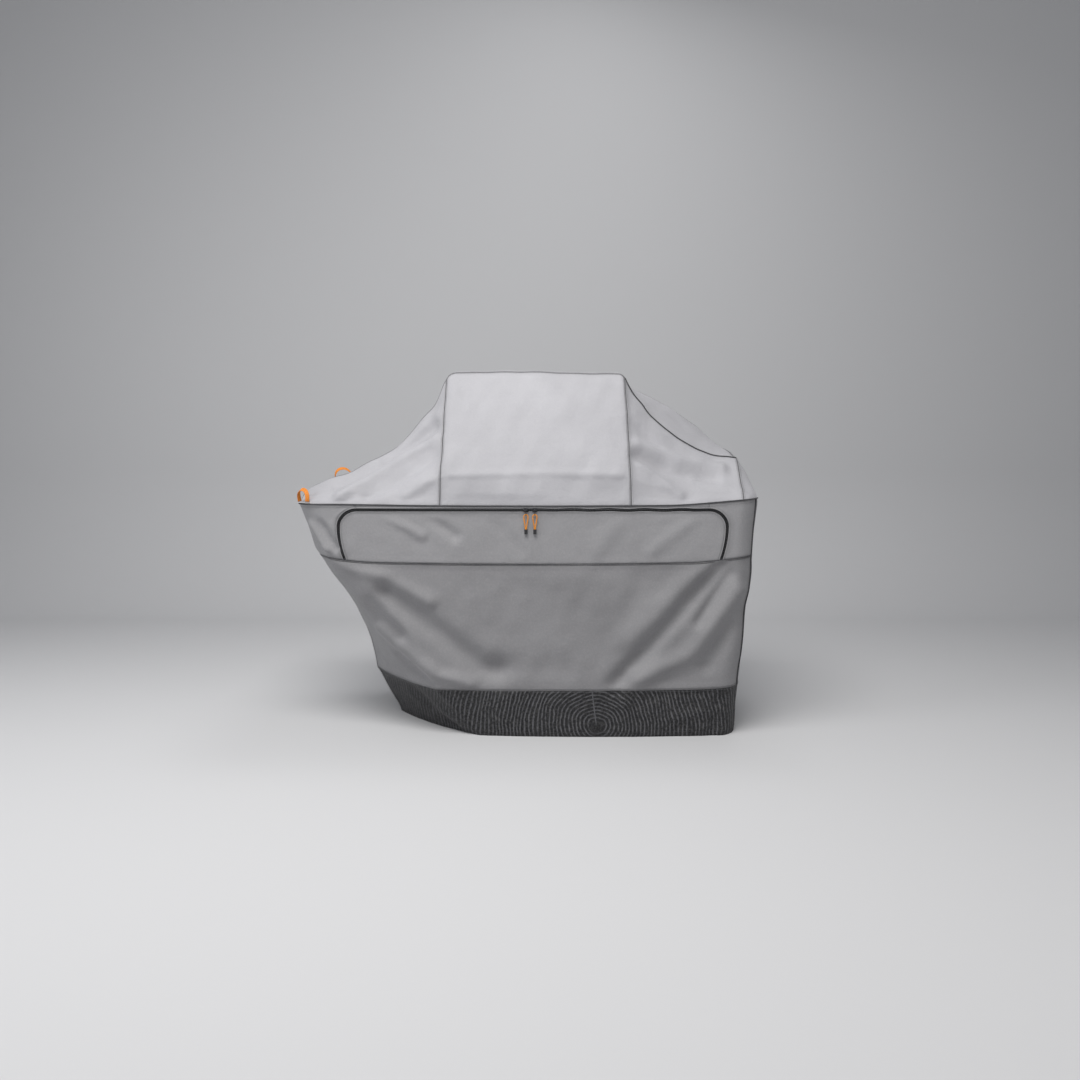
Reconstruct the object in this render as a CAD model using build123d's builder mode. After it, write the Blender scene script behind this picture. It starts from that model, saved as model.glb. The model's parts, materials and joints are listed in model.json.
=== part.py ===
"""A grill cover: a sewn fabric hood with a crown, two sloping shoulders, a skirt and a dark hem,
and a front flap that a two-way zip closes.

Millimetres. +Z is up, the front faces -Y, and the origin is under the middle of the cover, at the
level of the hem's lower edge. The cover stands as it hangs over its grill.
"""

from build123d import *
import os

# ---- Overall sizes --------------------------------------------------------------------------
WIDTH = 1500.0  # across the ledge, the cover's widest line
DEPTH = 660.0  # front to back at the ledge
HEIGHT = 1190.0  # hem to crown
CLOTH = 4.0  # wall of the fabric panels
GAP = 0.4  # between pieces that move past each other

# ---- Heights of the seams that run round the cover -----------------------------------------
HEM_HEIGHT = 155.0  # the dark band at the bottom
FLAP_SEAM = 565.0  # the seam that the flap folds down about
LEDGE = 750.0  # the piped seam between the skirt and the shoulders

# ---- How the skirt narrows below the ledge ---------------------------------------------------
LEFT_IN_FLAP_SEAM = 60.0  # each is how far that side stands in from the ledge's end
LEFT_IN_HEM_SEAM = 215.0
LEFT_IN_HEM = 280.0
RIGHT_IN_FLAP_SEAM = 12.0
RIGHT_IN_HEM_SEAM = 50.0
RIGHT_IN_HEM = 60.0
FRONT_IN_HEM = 12.0

# ---- Corners seen from above: length along the front or back, then along the side ------------
LEFT_CORNER_LEDGE = (100.0, 130.0)
LEFT_CORNER_FLAP_SEAM = (80.0, 150.0)
LEFT_CORNER_HEM_SEAM = (260.0, 320.0)
LEFT_CORNER_HEM = (230.0, 250.0)
RIGHT_CORNER = (60.0, 80.0)
REAR_LEFT_CORNER = (100.0, 100.0)

# ---- The crown and the shoulders ---------------------------------------------------------------
CROWN_LEFT = -270.0  # the crown panel's two upright seams
CROWN_RIGHT = 330.0
CROWN_FRONT = -100.0  # front and back edges of the crown's flat top
CROWN_BACK = 170.0
CREASE_HEIGHT = 842.0  # where the crown's front turns steeper
CREASE_FRONT = -275.0

# ---- Shoulder sections ------------------------------------------------------------------------
# How far the crease and the top's front edge stand in from the ledge's front, and the top's back edge
# from its back. Then the heights of the same three, as shares of the crown's rise above the ledge.
LEFT_END_IN, LEFT_END_RISE = (4.0, 15.0, 15.0), (0.027, 0.064, 0.064)
LEFT_WING_IN, LEFT_WING_RISE = (30.0, 130.0, 130.0), (0.057, 0.19, 0.19)
LEFT_SLOPE_IN, LEFT_SLOPE_RISE = (40.0, 180.0, 140.0), (0.114, 0.418, 0.418)
RIGHT_SCOOP_IN, RIGHT_SCOOP_RISE = (45.0, 195.0, 165.0), (0.182, 0.58, 0.807)
RIGHT_EDGE_IN, RIGHT_EDGE_RISE = (30.0, 210.0, 180.0), (0.114, 0.373, 0.373)
RIGHT_END_IN, RIGHT_END_RISE = (15.0, 145.0, 115.0), (0.114, 0.352, 0.352)
SCOOP_ALONG = 1 / 3  # share of the way from the crown to the right edge

# ---- Front flap and zip --------------------------------------------------------------------------
ZIP_LEFT = -585.0  # the line where the two rows of teeth meet
ZIP_RIGHT = 628.0
ZIP_TOP = 729.0
ZIP_CORNER = 52.0  # radius of the arch at each end of the top run
TOOTH = 3.0  # width of one row of teeth
TEETH_THICK = 2.6
TEETH_GAP = 0.6  # from the meeting line to each row of teeth
TAPE = 11.0  # width of tape that shows beside the teeth
TAPE_THICK = 1.2
STOP_HEIGHT = 6.0  # the stop at each lower end

# ---- Sliders and their pulls ----------------------------------------------------------------------
SLIDER_X = (0.0, 28.0)  # where the left and right sliders meet when the zip is shut
SLIDER_LENGTH = 17.0
SLIDER_WIDTH = 13.0
SLIDER_PLATE = 2.0
SLIDER_CORNER = 3.0  # radius of the face plate's corners
BACK_PLATE_SHORTER = 3.0  # than the face plate
SLIDER_POST = (6.0, 0.8)
BRIDGE_SPAN = 12.0
BRIDGE_WIRE = 0.9  # radius
BRIDGE_RISE = 3.4  # from the plate's face to the bridge's axis
BAIL_WIRE = 0.65  # radius of the wire ring
BAIL_TURN = 2.2  # radius of the ring's turn about the bridge
BAIL_DROP = 14.0
CORD_RADIUS = 1.3
CORD_SPREAD = 3.4  # from the pull's middle to each strand
CORD_DROP = 43.0
TIP_SIZE = (10.0, 6.0)
TIP_LENGTH = 15.0

# ---- Grab loops -------------------------------------------------------------------------------------
WEBBING_WIDTH = 16.0
WEBBING_THICK = 2.0
LOOP_SPAN = 62.0
LOOP_RISE = 42.0
LOOP_FOOT = (2.0, 6.0)  # height where a foot starts, and where it reaches the webbing's full width
LOOP_FOOT_WIDTH = 6.0
PATCH_SIZE = (88.0, 30.0)
PATCH_THICK = 1.6
REAR_LOOP_IN = 15.0  # from the wing's inner end to the rear loop's middle
REAR_LOOP_Y = 100.0
FRONT_LOOP_ALONG = 82.0  # from the ledge's front left corner to the front loop's middle

# ---- Piping -------------------------------------------------------------------------------------------
PIPING = 2.4  # radius of the piped edges
SLOPE_PIPING_BEND = 90.0  # radius of the slope piping's turns
SLOPE_PIPING_OUT = (0.55, -0.6, 0.75)  # the way that it stands off the slope's edge
CORNER_PIPING_BEND = 200.0

LEFT = -WIDTH / 2
RIGHT = WIDTH / 2
FRONT = -DEPTH / 2
BACK = DEPTH / 2

os.makedirs("parts", exist_ok=True)


def keep(piece, label):
    """Name a finished piece and write it out."""
    piece.part.label = label
    export_step(piece.part, f"parts/{label}.step")


def inset(ring, walls):
    """The corners of a ring, each side moved to the left of its direction by its own wall."""
    sides = []
    for start, end, wall in zip(ring, ring[1:] + ring[:1], walls):
        along = (Vector(*end) - Vector(*start)).normalized()
        sides.append((Vector(*start) + Vector(-along.Y, along.X) * wall, along))
    corners = []
    for (first, along), (second, onward) in zip(sides[-1:] + sides[:-1], sides):
        step = (second - first).cross(onward).Z / along.cross(onward).Z
        corner = first + along * step
        corners.append((corner.X, corner.Y))
    return corners


def level(height, left_in, right_in, front_in, left_corner):
    """A section seen from above: its plane, its outer corners and its inner corners."""
    left, right = LEFT + left_in, RIGHT - right_in
    front, back = FRONT + front_in, BACK - front_in
    ring = [
        (left, front + left_corner[1]),
        (left + left_corner[0], front),
        (right - RIGHT_CORNER[0], front),
        (right, front + RIGHT_CORNER[1]),
        (right, back - RIGHT_CORNER[1]),
        (right - RIGHT_CORNER[0], back),
        (left + REAR_LEFT_CORNER[0], back),
        (left, back - REAR_LEFT_CORNER[1]),
    ]
    return Plane.XY.offset(height), ring, inset(ring, [CLOTH] * len(ring))


FRONT_RUN, RIGHT_RUN, BACK_RUN, LEFT_RUN = [0, 1, 2, 3], [3, 4], [4, 5, 6, 7], [7, 0]

hem_edge = level(0, LEFT_IN_HEM, RIGHT_IN_HEM, FRONT_IN_HEM, LEFT_CORNER_HEM)
hem_seam = level(HEM_HEIGHT, LEFT_IN_HEM_SEAM, RIGHT_IN_HEM_SEAM, 0, LEFT_CORNER_HEM_SEAM)
flap_seam = level(FLAP_SEAM, LEFT_IN_FLAP_SEAM, RIGHT_IN_FLAP_SEAM, 0, LEFT_CORNER_FLAP_SEAM)
ledge = level(LEDGE, 0, 0, 0, LEFT_CORNER_LEDGE)


def station(across, front, crease, top_front, top_back, back):
    """A section across the shoulders: its plane, its outer corners and its inner corners.

    Corners run from the back of the ledge, over the top, to the front of the ledge.
    """
    ring = [(back, LEDGE), top_back, top_front, crease, (front, LEDGE)]
    return Plane.YZ.offset(across), ring, inset(ring, [CLOTH] * 4 + [0])


TOP_RUN, SHOULDER_FRONT_RUN, SHOULDER_BACK_RUN = [1, 2], [2, 3, 4], [0, 1]

def shoulder(across, front, back, stands_in, rises):
    """A station whose crease and top edges stand in from the ledge and rise by shares of the crown's rise."""
    crease, top_front, top_back = (LEDGE + rise * (HEIGHT - LEDGE) for rise in rises)
    return station(
        across,
        front,
        (front + stands_in[0], crease),
        (front + stands_in[1], top_front),
        (back - stands_in[2], top_back),
        back,
    )


WING_X = LEFT + LEFT_CORNER_LEDGE[0]
RIGHT_EDGE_X = RIGHT - RIGHT_CORNER[0]
LEFT_END_FRONT, LEFT_END_BACK = ledge[1][0][1], ledge[1][7][1]
RIGHT_END_FRONT, RIGHT_END_BACK = ledge[1][3][1], ledge[1][4][1]
CROWN_PROFILE = ((CREASE_FRONT, CREASE_HEIGHT), (CROWN_FRONT, HEIGHT), (CROWN_BACK, HEIGHT))

left_end = shoulder(LEFT + CLOTH, LEFT_END_FRONT, LEFT_END_BACK, LEFT_END_IN, LEFT_END_RISE)
left_wing = shoulder(WING_X, FRONT, BACK, LEFT_WING_IN, LEFT_WING_RISE)
left_slope = shoulder((WING_X + CROWN_LEFT) / 2, FRONT, BACK, LEFT_SLOPE_IN, LEFT_SLOPE_RISE)
crown_left = station(CROWN_LEFT, FRONT, *CROWN_PROFILE, BACK)
crown_right = station(CROWN_RIGHT, FRONT, *CROWN_PROFILE, BACK)
right_scoop = shoulder(
    CROWN_RIGHT + SCOOP_ALONG * (RIGHT_EDGE_X - CROWN_RIGHT), FRONT, BACK, RIGHT_SCOOP_IN, RIGHT_SCOOP_RISE
)
right_edge = shoulder(RIGHT_EDGE_X, FRONT, BACK, RIGHT_EDGE_IN, RIGHT_EDGE_RISE)
right_end = shoulder(RIGHT - CLOTH, RIGHT_END_FRONT, RIGHT_END_BACK, RIGHT_END_IN, RIGHT_END_RISE)


def cloth_panel(label, sections, run):
    """A fabric panel that passes through the same run of corners on each of its sections."""
    with BuildPart() as panel:
        for plane, outer, inner in sections:
            with BuildSketch(plane):
                with BuildLine():
                    Polyline([outer[i] for i in run] + [inner[i] for i in reversed(run)], close=True)
                make_face()
        loft(ruled=True)
    keep(panel, label)


def end_panel(label, section, amount):
    """The upright panel that closes a shoulder's outer end."""
    plane, outer, _ = section
    with BuildPart() as panel:
        with BuildSketch(plane):
            with BuildLine():
                Polyline(outer, close=True)
            make_face()
        extrude(amount=amount)
    keep(panel, label)


# ---- Hem: four lengths of dark fabric round the bottom -----------------------------------------
for side, run in (("front", FRONT_RUN), ("right", RIGHT_RUN), ("back", BACK_RUN), ("left", LEFT_RUN)):
    cloth_panel(f"hem_{side}", (hem_edge, hem_seam), run)

# ---- Skirt ----------------------------------------------------------------------------------------
cloth_panel("front_skirt", (hem_seam, flap_seam), FRONT_RUN)
for side, run in (("right_side", RIGHT_RUN), ("back", BACK_RUN), ("left_side", LEFT_RUN)):
    cloth_panel(f"{side}_panel", (hem_seam, flap_seam, ledge), run)

# ---- Crown and shoulders ------------------------------------------------------------------------
left_stations = (left_end, left_wing, left_slope, crown_left)
right_stations = (crown_right, right_scoop, right_edge, right_end)

cloth_panel("crown_front_panel", (crown_left, crown_right), SHOULDER_FRONT_RUN)
cloth_panel("crown_top_panel", (crown_left, crown_right), TOP_RUN)
cloth_panel("crown_back_panel", (crown_left, crown_right), SHOULDER_BACK_RUN)
for side, stations in (("left", left_stations), ("right", right_stations)):
    cloth_panel(f"{side}_shoulder_front", stations, SHOULDER_FRONT_RUN)
    cloth_panel(f"{side}_shoulder_top", stations, TOP_RUN)
    cloth_panel(f"{side}_shoulder_back", stations, SHOULDER_BACK_RUN)
end_panel("left_end_panel", left_end, -CLOTH)
end_panel("right_end_panel", right_end, CLOTH)


# ---- Upper front band: the fabric round the zip's opening ----------------------------------------
def arch(outward, bottom):
    """The zip's upside-down U, filled in: its meeting line moved outward, cut off at a height."""
    low_x, high_x, top = ZIP_LEFT - outward, ZIP_RIGHT + outward, ZIP_TOP + outward
    with BuildSketch(Plane.XZ.offset(-FRONT)) as outline:
        with Locations(((low_x + high_x) / 2, (bottom + top) / 2)):
            Rectangle(high_x - low_x, top - bottom)
        fillet(outline.vertices().group_by(Axis.Y)[-1], radius=ZIP_CORNER + outward)
    return outline.sketch


TEETH_OUT = TEETH_GAP + TOOTH
TAPE_OUT = TEETH_OUT + TAPE
HEADER_ENDS = (ZIP_LEFT + ZIP_CORNER, ZIP_RIGHT - ZIP_CORNER)
zip_opening = arch(TAPE_OUT, FLAP_SEAM - 1)


def band_panel(label, low_x, high_x):
    """The part of the upper front band that lies between two upright planes."""
    with BuildPart() as panel:
        for plane, outer, inner in (flap_seam, ledge):
            with BuildSketch(plane):
                with BuildLine():
                    run = FRONT_RUN
                    Polyline([outer[i] for i in run] + [inner[i] for i in reversed(run)], close=True)
                make_face()
        loft(ruled=True)
        extrude(zip_opening, amount=CLOTH, both=True, mode=Mode.SUBTRACT)
        if low_x > LEFT:
            split(bisect_by=Plane.YZ.offset(low_x), keep=Keep.TOP)
        if high_x < RIGHT:
            split(bisect_by=Plane.YZ.offset(high_x), keep=Keep.BOTTOM)
    keep(panel, label)


band_panel("front_left_corner_panel", LEFT, HEADER_ENDS[0])
band_panel("zip_header", *HEADER_ENDS)
band_panel("front_right_corner_panel", HEADER_ENDS[1], RIGHT)

# ---- Flap: the panel inside the zip, sewn to the skirt along its lower edge ------------------------
flap_outline = arch(-TAPE_OUT, FLAP_SEAM + GAP)
with BuildPart() as front_flap:
    extrude(flap_outline, amount=-CLOTH)
keep(front_flap, "front_flap")


# ---- Zip: a woven tape and a row of teeth on each side of the meeting line -------------------------
def zip_strip(label, outer, inner, bottom, thick):
    """An upside-down U between two distances from the meeting line, set in the cloth's thickness."""
    outer_arch, inner_arch = arch(outer, bottom), arch(inner, bottom - 1)
    with BuildPart() as strip:
        extrude(outer_arch, amount=-thick)
        extrude(inner_arch, amount=CLOTH, both=True, mode=Mode.SUBTRACT)
    keep(strip, label)


STOP_TOP = FLAP_SEAM + STOP_HEIGHT
zip_strip("zip_tape_cover", TAPE_OUT, TEETH_OUT, FLAP_SEAM, TAPE_THICK)
zip_strip("zip_teeth_cover", TEETH_OUT, TEETH_GAP, STOP_TOP, TEETH_THICK)
zip_strip("zip_teeth_flap", -TEETH_GAP, -TEETH_OUT, STOP_TOP + 2 * GAP, TEETH_THICK)
zip_strip("zip_tape_flap", -TEETH_OUT, -TAPE_OUT, FLAP_SEAM + GAP, TAPE_THICK)

for side, line, outward in (("left", ZIP_LEFT, -1), ("right", ZIP_RIGHT, 1)):
    outer_x = line + outward * TEETH_OUT
    inner_x = line - outward * (TEETH_OUT - GAP)
    with BuildPart() as zip_stop:
        with BuildSketch(Plane.XZ.offset(-FRONT)):
            with Locations(((outer_x + inner_x) / 2, (FLAP_SEAM + STOP_TOP) / 2)):
                Rectangle(abs(outer_x - inner_x), STOP_HEIGHT)
        extrude(amount=-TEETH_THICK)
    keep(zip_stop, f"zip_stop_{side}")

# ---- Sliders: a face plate, a post between the teeth, a back plate and a bridge for the pull ---------
PLATE_BACK = FRONT - GAP
PLATE_FACE = PLATE_BACK - SLIDER_PLATE
BRIDGE_Y = PLATE_FACE - BRIDGE_RISE
BACK_PLATE_Y = FRONT + TEETH_THICK + GAP
POST_TOP = ZIP_TOP + SLIDER_POST[1] / 2
BACK_PLATE_HEIGHT = SLIDER_WIDTH / 2 + SLIDER_POST[1] / 2

for side, across in zip(("left", "right"), SLIDER_X):
    with BuildPart() as slider:
        with BuildSketch(Plane.XZ.offset(-PLATE_BACK)):
            with Locations((across, ZIP_TOP)):
                RectangleRounded(SLIDER_LENGTH, SLIDER_WIDTH, SLIDER_CORNER)
        extrude(amount=SLIDER_PLATE)
        fillet(slider.faces().sort_by(Axis.Y)[0].edges(), radius=SLIDER_PLATE / 3)
        with BuildSketch(Plane.XZ.offset(-BACK_PLATE_Y)):
            with Locations((across, POST_TOP - BACK_PLATE_HEIGHT / 2)):
                Rectangle(SLIDER_LENGTH - BACK_PLATE_SHORTER, BACK_PLATE_HEIGHT)
        extrude(amount=-SLIDER_PLATE)
        with BuildSketch(Plane.XZ.offset(-BACK_PLATE_Y - GAP)):
            with Locations((across, ZIP_TOP)):
                Rectangle(*SLIDER_POST)
        extrude(amount=BACK_PLATE_Y + 2 * GAP - PLATE_BACK)
        foot_y = PLATE_FACE + SLIDER_PLATE / 3
        ends = (across - BRIDGE_SPAN / 2, across + BRIDGE_SPAN / 2)
        with BuildLine(Plane.XY.offset(ZIP_TOP)):
            FilletPolyline(
                (ends[0], foot_y),
                (ends[0], BRIDGE_Y),
                (ends[1], BRIDGE_Y),
                (ends[1], foot_y),
                radius=2 * BRIDGE_WIRE,
            )
        with BuildSketch(Plane((ends[0], foot_y, ZIP_TOP), z_dir=(0, -1, 0))):
            Circle(BRIDGE_WIRE)
        sweep()
    keep(slider, f"slider_{side}")

    # The wire ring hangs from the bridge and lies in an upright plane across the zip.
    bail_low = ZIP_TOP - BAIL_DROP
    with BuildPart() as bail:
        with BuildLine(Plane.YZ.offset(across)):
            back_wire = Line((BRIDGE_Y + BAIL_TURN, bail_low), (BRIDGE_Y + BAIL_TURN, ZIP_TOP))
            ThreePointArc(back_wire @ 1, (BRIDGE_Y, ZIP_TOP + BAIL_TURN), (BRIDGE_Y - BAIL_TURN, ZIP_TOP))
            front_wire = Line((BRIDGE_Y - BAIL_TURN, ZIP_TOP), (BRIDGE_Y - BAIL_TURN, bail_low))
            ThreePointArc(front_wire @ 1, (BRIDGE_Y, bail_low - BAIL_TURN), back_wire @ 0)
        with BuildSketch(Plane((across, BRIDGE_Y + BAIL_TURN, bail_low), z_dir=(0, 0, 1))):
            Circle(BAIL_WIRE)
        sweep()
    keep(bail, f"pull_bail_{side}")

    # The cord is looped through the ring, and its two strands hang side by side into the tip.
    turn_z = bail_low - BAIL_TURN + BAIL_WIRE + GAP / 4 + CORD_RADIUS - CORD_SPREAD
    tip_top = turn_z - CORD_DROP
    with BuildPart() as pull_cord:
        with BuildLine(Plane.XZ.offset(-BRIDGE_Y)):
            rising = Line((across - CORD_SPREAD, tip_top), (across - CORD_SPREAD, turn_z))
            turn = ThreePointArc(
                rising @ 1, (across, turn_z + CORD_SPREAD), (across + CORD_SPREAD, turn_z)
            )
            Line(turn @ 1, (across + CORD_SPREAD, tip_top))
        with BuildSketch(Plane((across - CORD_SPREAD, BRIDGE_Y, tip_top), z_dir=(0, 0, 1))):
            Circle(CORD_RADIUS)
        sweep()
    keep(pull_cord, f"pull_cord_{side}")

    with BuildPart() as pull_tip:
        with BuildSketch(Plane((across, BRIDGE_Y, tip_top), z_dir=(0, 0, 1))):
            RectangleRounded(*TIP_SIZE, TIP_SIZE[1] / 3)
        extrude(amount=-TIP_LENGTH)
        fillet(pull_tip.faces().sort_by(Axis.Z)[0].edges(), radius=TIP_SIZE[1] / 4)
    keep(pull_tip, f"pull_tip_{side}")

# ---- Piping: cord sewn into the ledge seam, the right slope's edge and the right front corner --------
with BuildPart() as ledge_piping:
    with BuildSketch(ledge[0].offset(-2 * PIPING)):
        with BuildLine():
            Polyline(ledge[1], close=True)
        make_face()
        offset(amount=2 * PIPING, kind=Kind.INTERSECTION)
        with BuildLine():
            Polyline(ledge[1], close=True)
        make_face(mode=Mode.SUBTRACT)
    extrude(amount=2 * PIPING)
    fillet(ledge_piping.faces().sort_by(Axis.Z)[-1].outer_wire().edges(), radius=PIPING * 0.9)
    fillet(ledge_piping.faces().sort_by(Axis.Z)[0].outer_wire().edges(), radius=PIPING * 0.9)
keep(ledge_piping, "ledge_piping")


def edge_piping(label, corners, outward, bend):
    """A round cord that lies against the outside of an edge and follows its corners."""
    shift = Vector(*outward).normalized() * (PIPING + GAP / 2)
    route = [Vector(*corner) + shift for corner in corners]
    with BuildPart() as piping:
        with BuildLine() as path:
            FilletPolyline(*route, radius=bend)
        with BuildSketch(Plane(route[0], z_dir=path.line % 0)):
            Circle(PIPING)
        sweep()
    keep(piping, label)


slope_edge = [
    (section[0].origin.X, *section[1][2]) for section in (crown_right, right_scoop, right_edge)
]
edge_piping("right_slope_piping", slope_edge, SLOPE_PIPING_OUT, SLOPE_PIPING_BEND)

corner_edge = [(*section[1][3], section[0].origin.Z) for section in (hem_seam, flap_seam, ledge)]
corner_edge[-1] = (*corner_edge[-1][:2], LEDGE - 2 * PIPING - GAP)
edge_piping("right_corner_piping", corner_edge, (RIGHT_CORNER[1], -RIGHT_CORNER[0], 0), CORNER_PIPING_BEND)


# ---- Grab loops: webbing arches that stand on sewn patches ---------------------------------------------
def grab_loop(name, foot, along):
    """A webbing arch that flops about the line through its feet, and the patch under it."""
    stand = Plane(foot, x_dir=along, z_dir=Vector(0, 0, 1).cross(Vector(*along)) * -1)
    with BuildPart() as patch:
        with BuildSketch(Plane(foot, x_dir=along, z_dir=stand.y_dir)):
            RectangleRounded(*PATCH_SIZE, PATCH_THICK * 2)
        extrude(amount=-PATCH_THICK)
    keep(patch, f"loop_patch_{name}")

    with BuildPart() as loop:
        for width, start in ((LOOP_FOOT_WIDTH, LOOP_FOOT[0]), (WEBBING_WIDTH, LOOP_FOOT[1])):
            with BuildSketch(stand):
                Ellipse(LOOP_SPAN / 2, LOOP_RISE)
                Ellipse(LOOP_SPAN / 2 - WEBBING_THICK, LOOP_RISE - WEBBING_THICK, mode=Mode.SUBTRACT)
                with Locations((0, start)):
                    Rectangle(LOOP_SPAN, LOOP_RISE, align=(Align.CENTER, Align.MIN), mode=Mode.INTERSECT)
            extrude(amount=width / 2, both=True)
    keep(loop, f"grab_loop_{name}")


LEFT_END_TOP, LEFT_WING_TOP = left_end[1][2][1], left_wing[1][2][1]
wing_slope = (WING_X - left_end[0].origin.X, 0, LEFT_WING_TOP - LEFT_END_TOP)
rear_x = WING_X - REAR_LOOP_IN
rear_z = LEFT_WING_TOP - REAR_LOOP_IN * wing_slope[2] / wing_slope[0]
rear_rise = Vector(-wing_slope[2], 0, wing_slope[0]).normalized() * PATCH_THICK
grab_loop("rear", (rear_x + rear_rise.X, REAR_LOOP_Y, rear_z + rear_rise.Z), wing_slope)

corner_start, corner_end = Vector(*ledge[1][0]), Vector(*ledge[1][1])
corner_along = (corner_end - corner_start).normalized()
corner_out = Vector(corner_along.Y, -corner_along.X)
front_foot = corner_start + corner_along * FRONT_LOOP_ALONG + corner_out * PATCH_SIZE[1] / 2
front_stand = (front_foot.X, front_foot.Y, LEDGE + GAP + PATCH_THICK)
grab_loop("front", front_stand, (corner_along.X, corner_along.Y, 0))
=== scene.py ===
"""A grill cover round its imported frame: the sewn cloth shell with its folds, piping, zip, pulls and loops."""

import json
from math import pi, radians

import bpy
import numpy as np
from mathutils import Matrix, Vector


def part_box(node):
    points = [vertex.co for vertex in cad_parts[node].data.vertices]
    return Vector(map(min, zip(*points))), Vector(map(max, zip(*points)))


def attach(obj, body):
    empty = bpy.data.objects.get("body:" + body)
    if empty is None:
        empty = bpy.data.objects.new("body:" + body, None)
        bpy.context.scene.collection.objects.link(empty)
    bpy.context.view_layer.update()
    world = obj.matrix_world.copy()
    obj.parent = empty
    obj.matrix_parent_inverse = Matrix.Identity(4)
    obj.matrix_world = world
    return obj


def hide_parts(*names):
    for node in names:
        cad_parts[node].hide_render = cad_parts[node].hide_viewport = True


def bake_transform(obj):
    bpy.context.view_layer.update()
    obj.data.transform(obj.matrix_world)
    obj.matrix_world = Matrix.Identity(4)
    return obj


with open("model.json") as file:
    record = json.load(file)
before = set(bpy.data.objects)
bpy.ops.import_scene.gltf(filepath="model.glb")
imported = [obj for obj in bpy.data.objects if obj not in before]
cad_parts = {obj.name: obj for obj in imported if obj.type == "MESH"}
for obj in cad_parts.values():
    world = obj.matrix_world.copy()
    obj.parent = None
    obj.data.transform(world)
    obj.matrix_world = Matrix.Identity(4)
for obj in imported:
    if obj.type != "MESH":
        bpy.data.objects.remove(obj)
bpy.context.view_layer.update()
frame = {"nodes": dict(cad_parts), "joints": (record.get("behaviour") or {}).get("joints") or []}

# ---- Camera, floor and light ------------------------------------------------------------------------
# The eye is a little right of the middle and as high as the ledge's piping. The floor is one pale sheet
# that curves up behind the cover, and four soft boxes light it from above, both sides and high up behind.
camera = bpy.data.objects.new("camera", bpy.data.cameras.new("camera"))
bpy.context.scene.collection.objects.link(camera)
bpy.context.scene.camera = camera
camera.data.sensor_width = 36.0
camera.data.lens = 27.47
camera.location = (0.044, -2.91, 0.82)
camera.rotation_euler = (radians(90 - 4.1), 0, 0)


def soft_box(name, place, size, watts, colour):
    """A rectangular light that stands at place and faces the middle of the cover."""
    data = bpy.data.lights.new(name, "AREA")
    data.shape, data.size, data.size_y = "RECTANGLE", size[0], size[1]
    data.energy, data.color = watts, colour
    lamp = bpy.data.objects.new(name, data)
    lamp.location = place
    lamp.rotation_euler = (Vector((0, 0, 0.6)) - Vector(place)).to_track_quat("-Z", "Y").to_euler()
    bpy.context.scene.collection.objects.link(lamp)


soft_box("top_box", (-0.4, -1.8, 3.2), (2.0, 1.4), 92, (1.0, 0.99, 0.97))
soft_box("left_box", (-3.4, -1.9, 1.9), (1.2, 1.8), 40, (0.98, 0.99, 1.0))
soft_box("right_box", (3.0, -2.6, 1.6), (1.4, 1.8), 10, (1.0, 0.98, 0.96))
soft_box("back_box", (0.8, 1.2, 4.6), (2.0, 1.2), 26, (1.0, 1.0, 1.0))

world = bpy.data.worlds.new("studio")
world.use_nodes = True
world.node_tree.nodes["Background"].inputs["Color"].default_value = (0.80, 0.82, 0.86, 1)
world.node_tree.nodes["Background"].inputs["Strength"].default_value = 0.30
bpy.context.scene.world = world
bpy.context.scene.view_settings.view_transform = "Standard"

FLOOR_HALF_WIDTH, FLOOR_NEAR, FLOOR_FAR, FLOOR_BEND, WALL_TOP = 7.0, -5.0, 1.9, 0.9, 6.5


def grid_quads(rows, columns):
    """The four corners of each cell of a grid, anticlockwise where columns go right and rows go up."""
    index = np.arange(rows * columns).reshape(rows, columns)
    corners = (index[:-1, :-1], index[:-1, 1:], index[1:, 1:], index[1:, :-1])
    return np.stack(corners, -1).reshape(-1, 4)


def sweep_floor():
    """Level ground from near to far, a quarter circle y = far + b sin a, z = b (1 - cos a), then a wall."""
    turn = np.linspace(0, pi / 2, 17)
    y = np.concatenate(([FLOOR_NEAR], FLOOR_FAR + FLOOR_BEND * np.sin(turn), [FLOOR_FAR + FLOOR_BEND]))
    z = np.concatenate(([0], FLOOR_BEND * (1 - np.cos(turn)), [WALL_TOP]))
    x = np.array([-FLOOR_HALF_WIDTH, FLOOR_HALF_WIDTH])
    grid = np.stack(np.broadcast_arrays(x[None, :], y[:, None], z[:, None]), -1)
    mesh = bpy.data.meshes.new("studio_floor")
    mesh.from_pydata(grid.reshape(-1, 3).tolist(), [], grid_quads(len(y), len(x)).tolist())
    mesh.polygons.foreach_set("use_smooth", [True] * len(mesh.polygons))
    paper = bpy.data.materials.new("studio_paper")
    paper.use_nodes = True
    paper.node_tree.nodes["Principled BSDF"].inputs["Base Color"].default_value = (0.60, 0.60, 0.61, 1)
    paper.node_tree.nodes["Principled BSDF"].inputs["Roughness"].default_value = 0.9
    mesh.materials.append(paper)
    floor = bpy.data.objects.new("studio_floor", mesh)
    bpy.context.scene.collection.objects.link(floor)


sweep_floor()

# ---- Hem ----------------------------------------------------------------------------------------------
# Four lengths of dark coated polyester, printed with the rings of a sawn log, make the band round the
# bottom. It hangs from the skirt's lowest seam, and its bottom edge is turned up and sewn.
HEM_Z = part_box("hem_front")[1].z
FLAP_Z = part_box("front_skirt")[1].z
LEDGE_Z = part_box("back_panel")[1].z
LEDGE_LEFT, LEDGE_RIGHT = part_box("back_panel")[0].x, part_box("right_side_panel")[1].x
HEM_LEFT, HEM_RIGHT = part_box("hem_front")[0].x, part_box("hem_right")[1].x
FRONT_Y, BACK_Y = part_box("front_flap")[0].y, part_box("back_panel")[1].y
CLOTH = 0.0018

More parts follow.
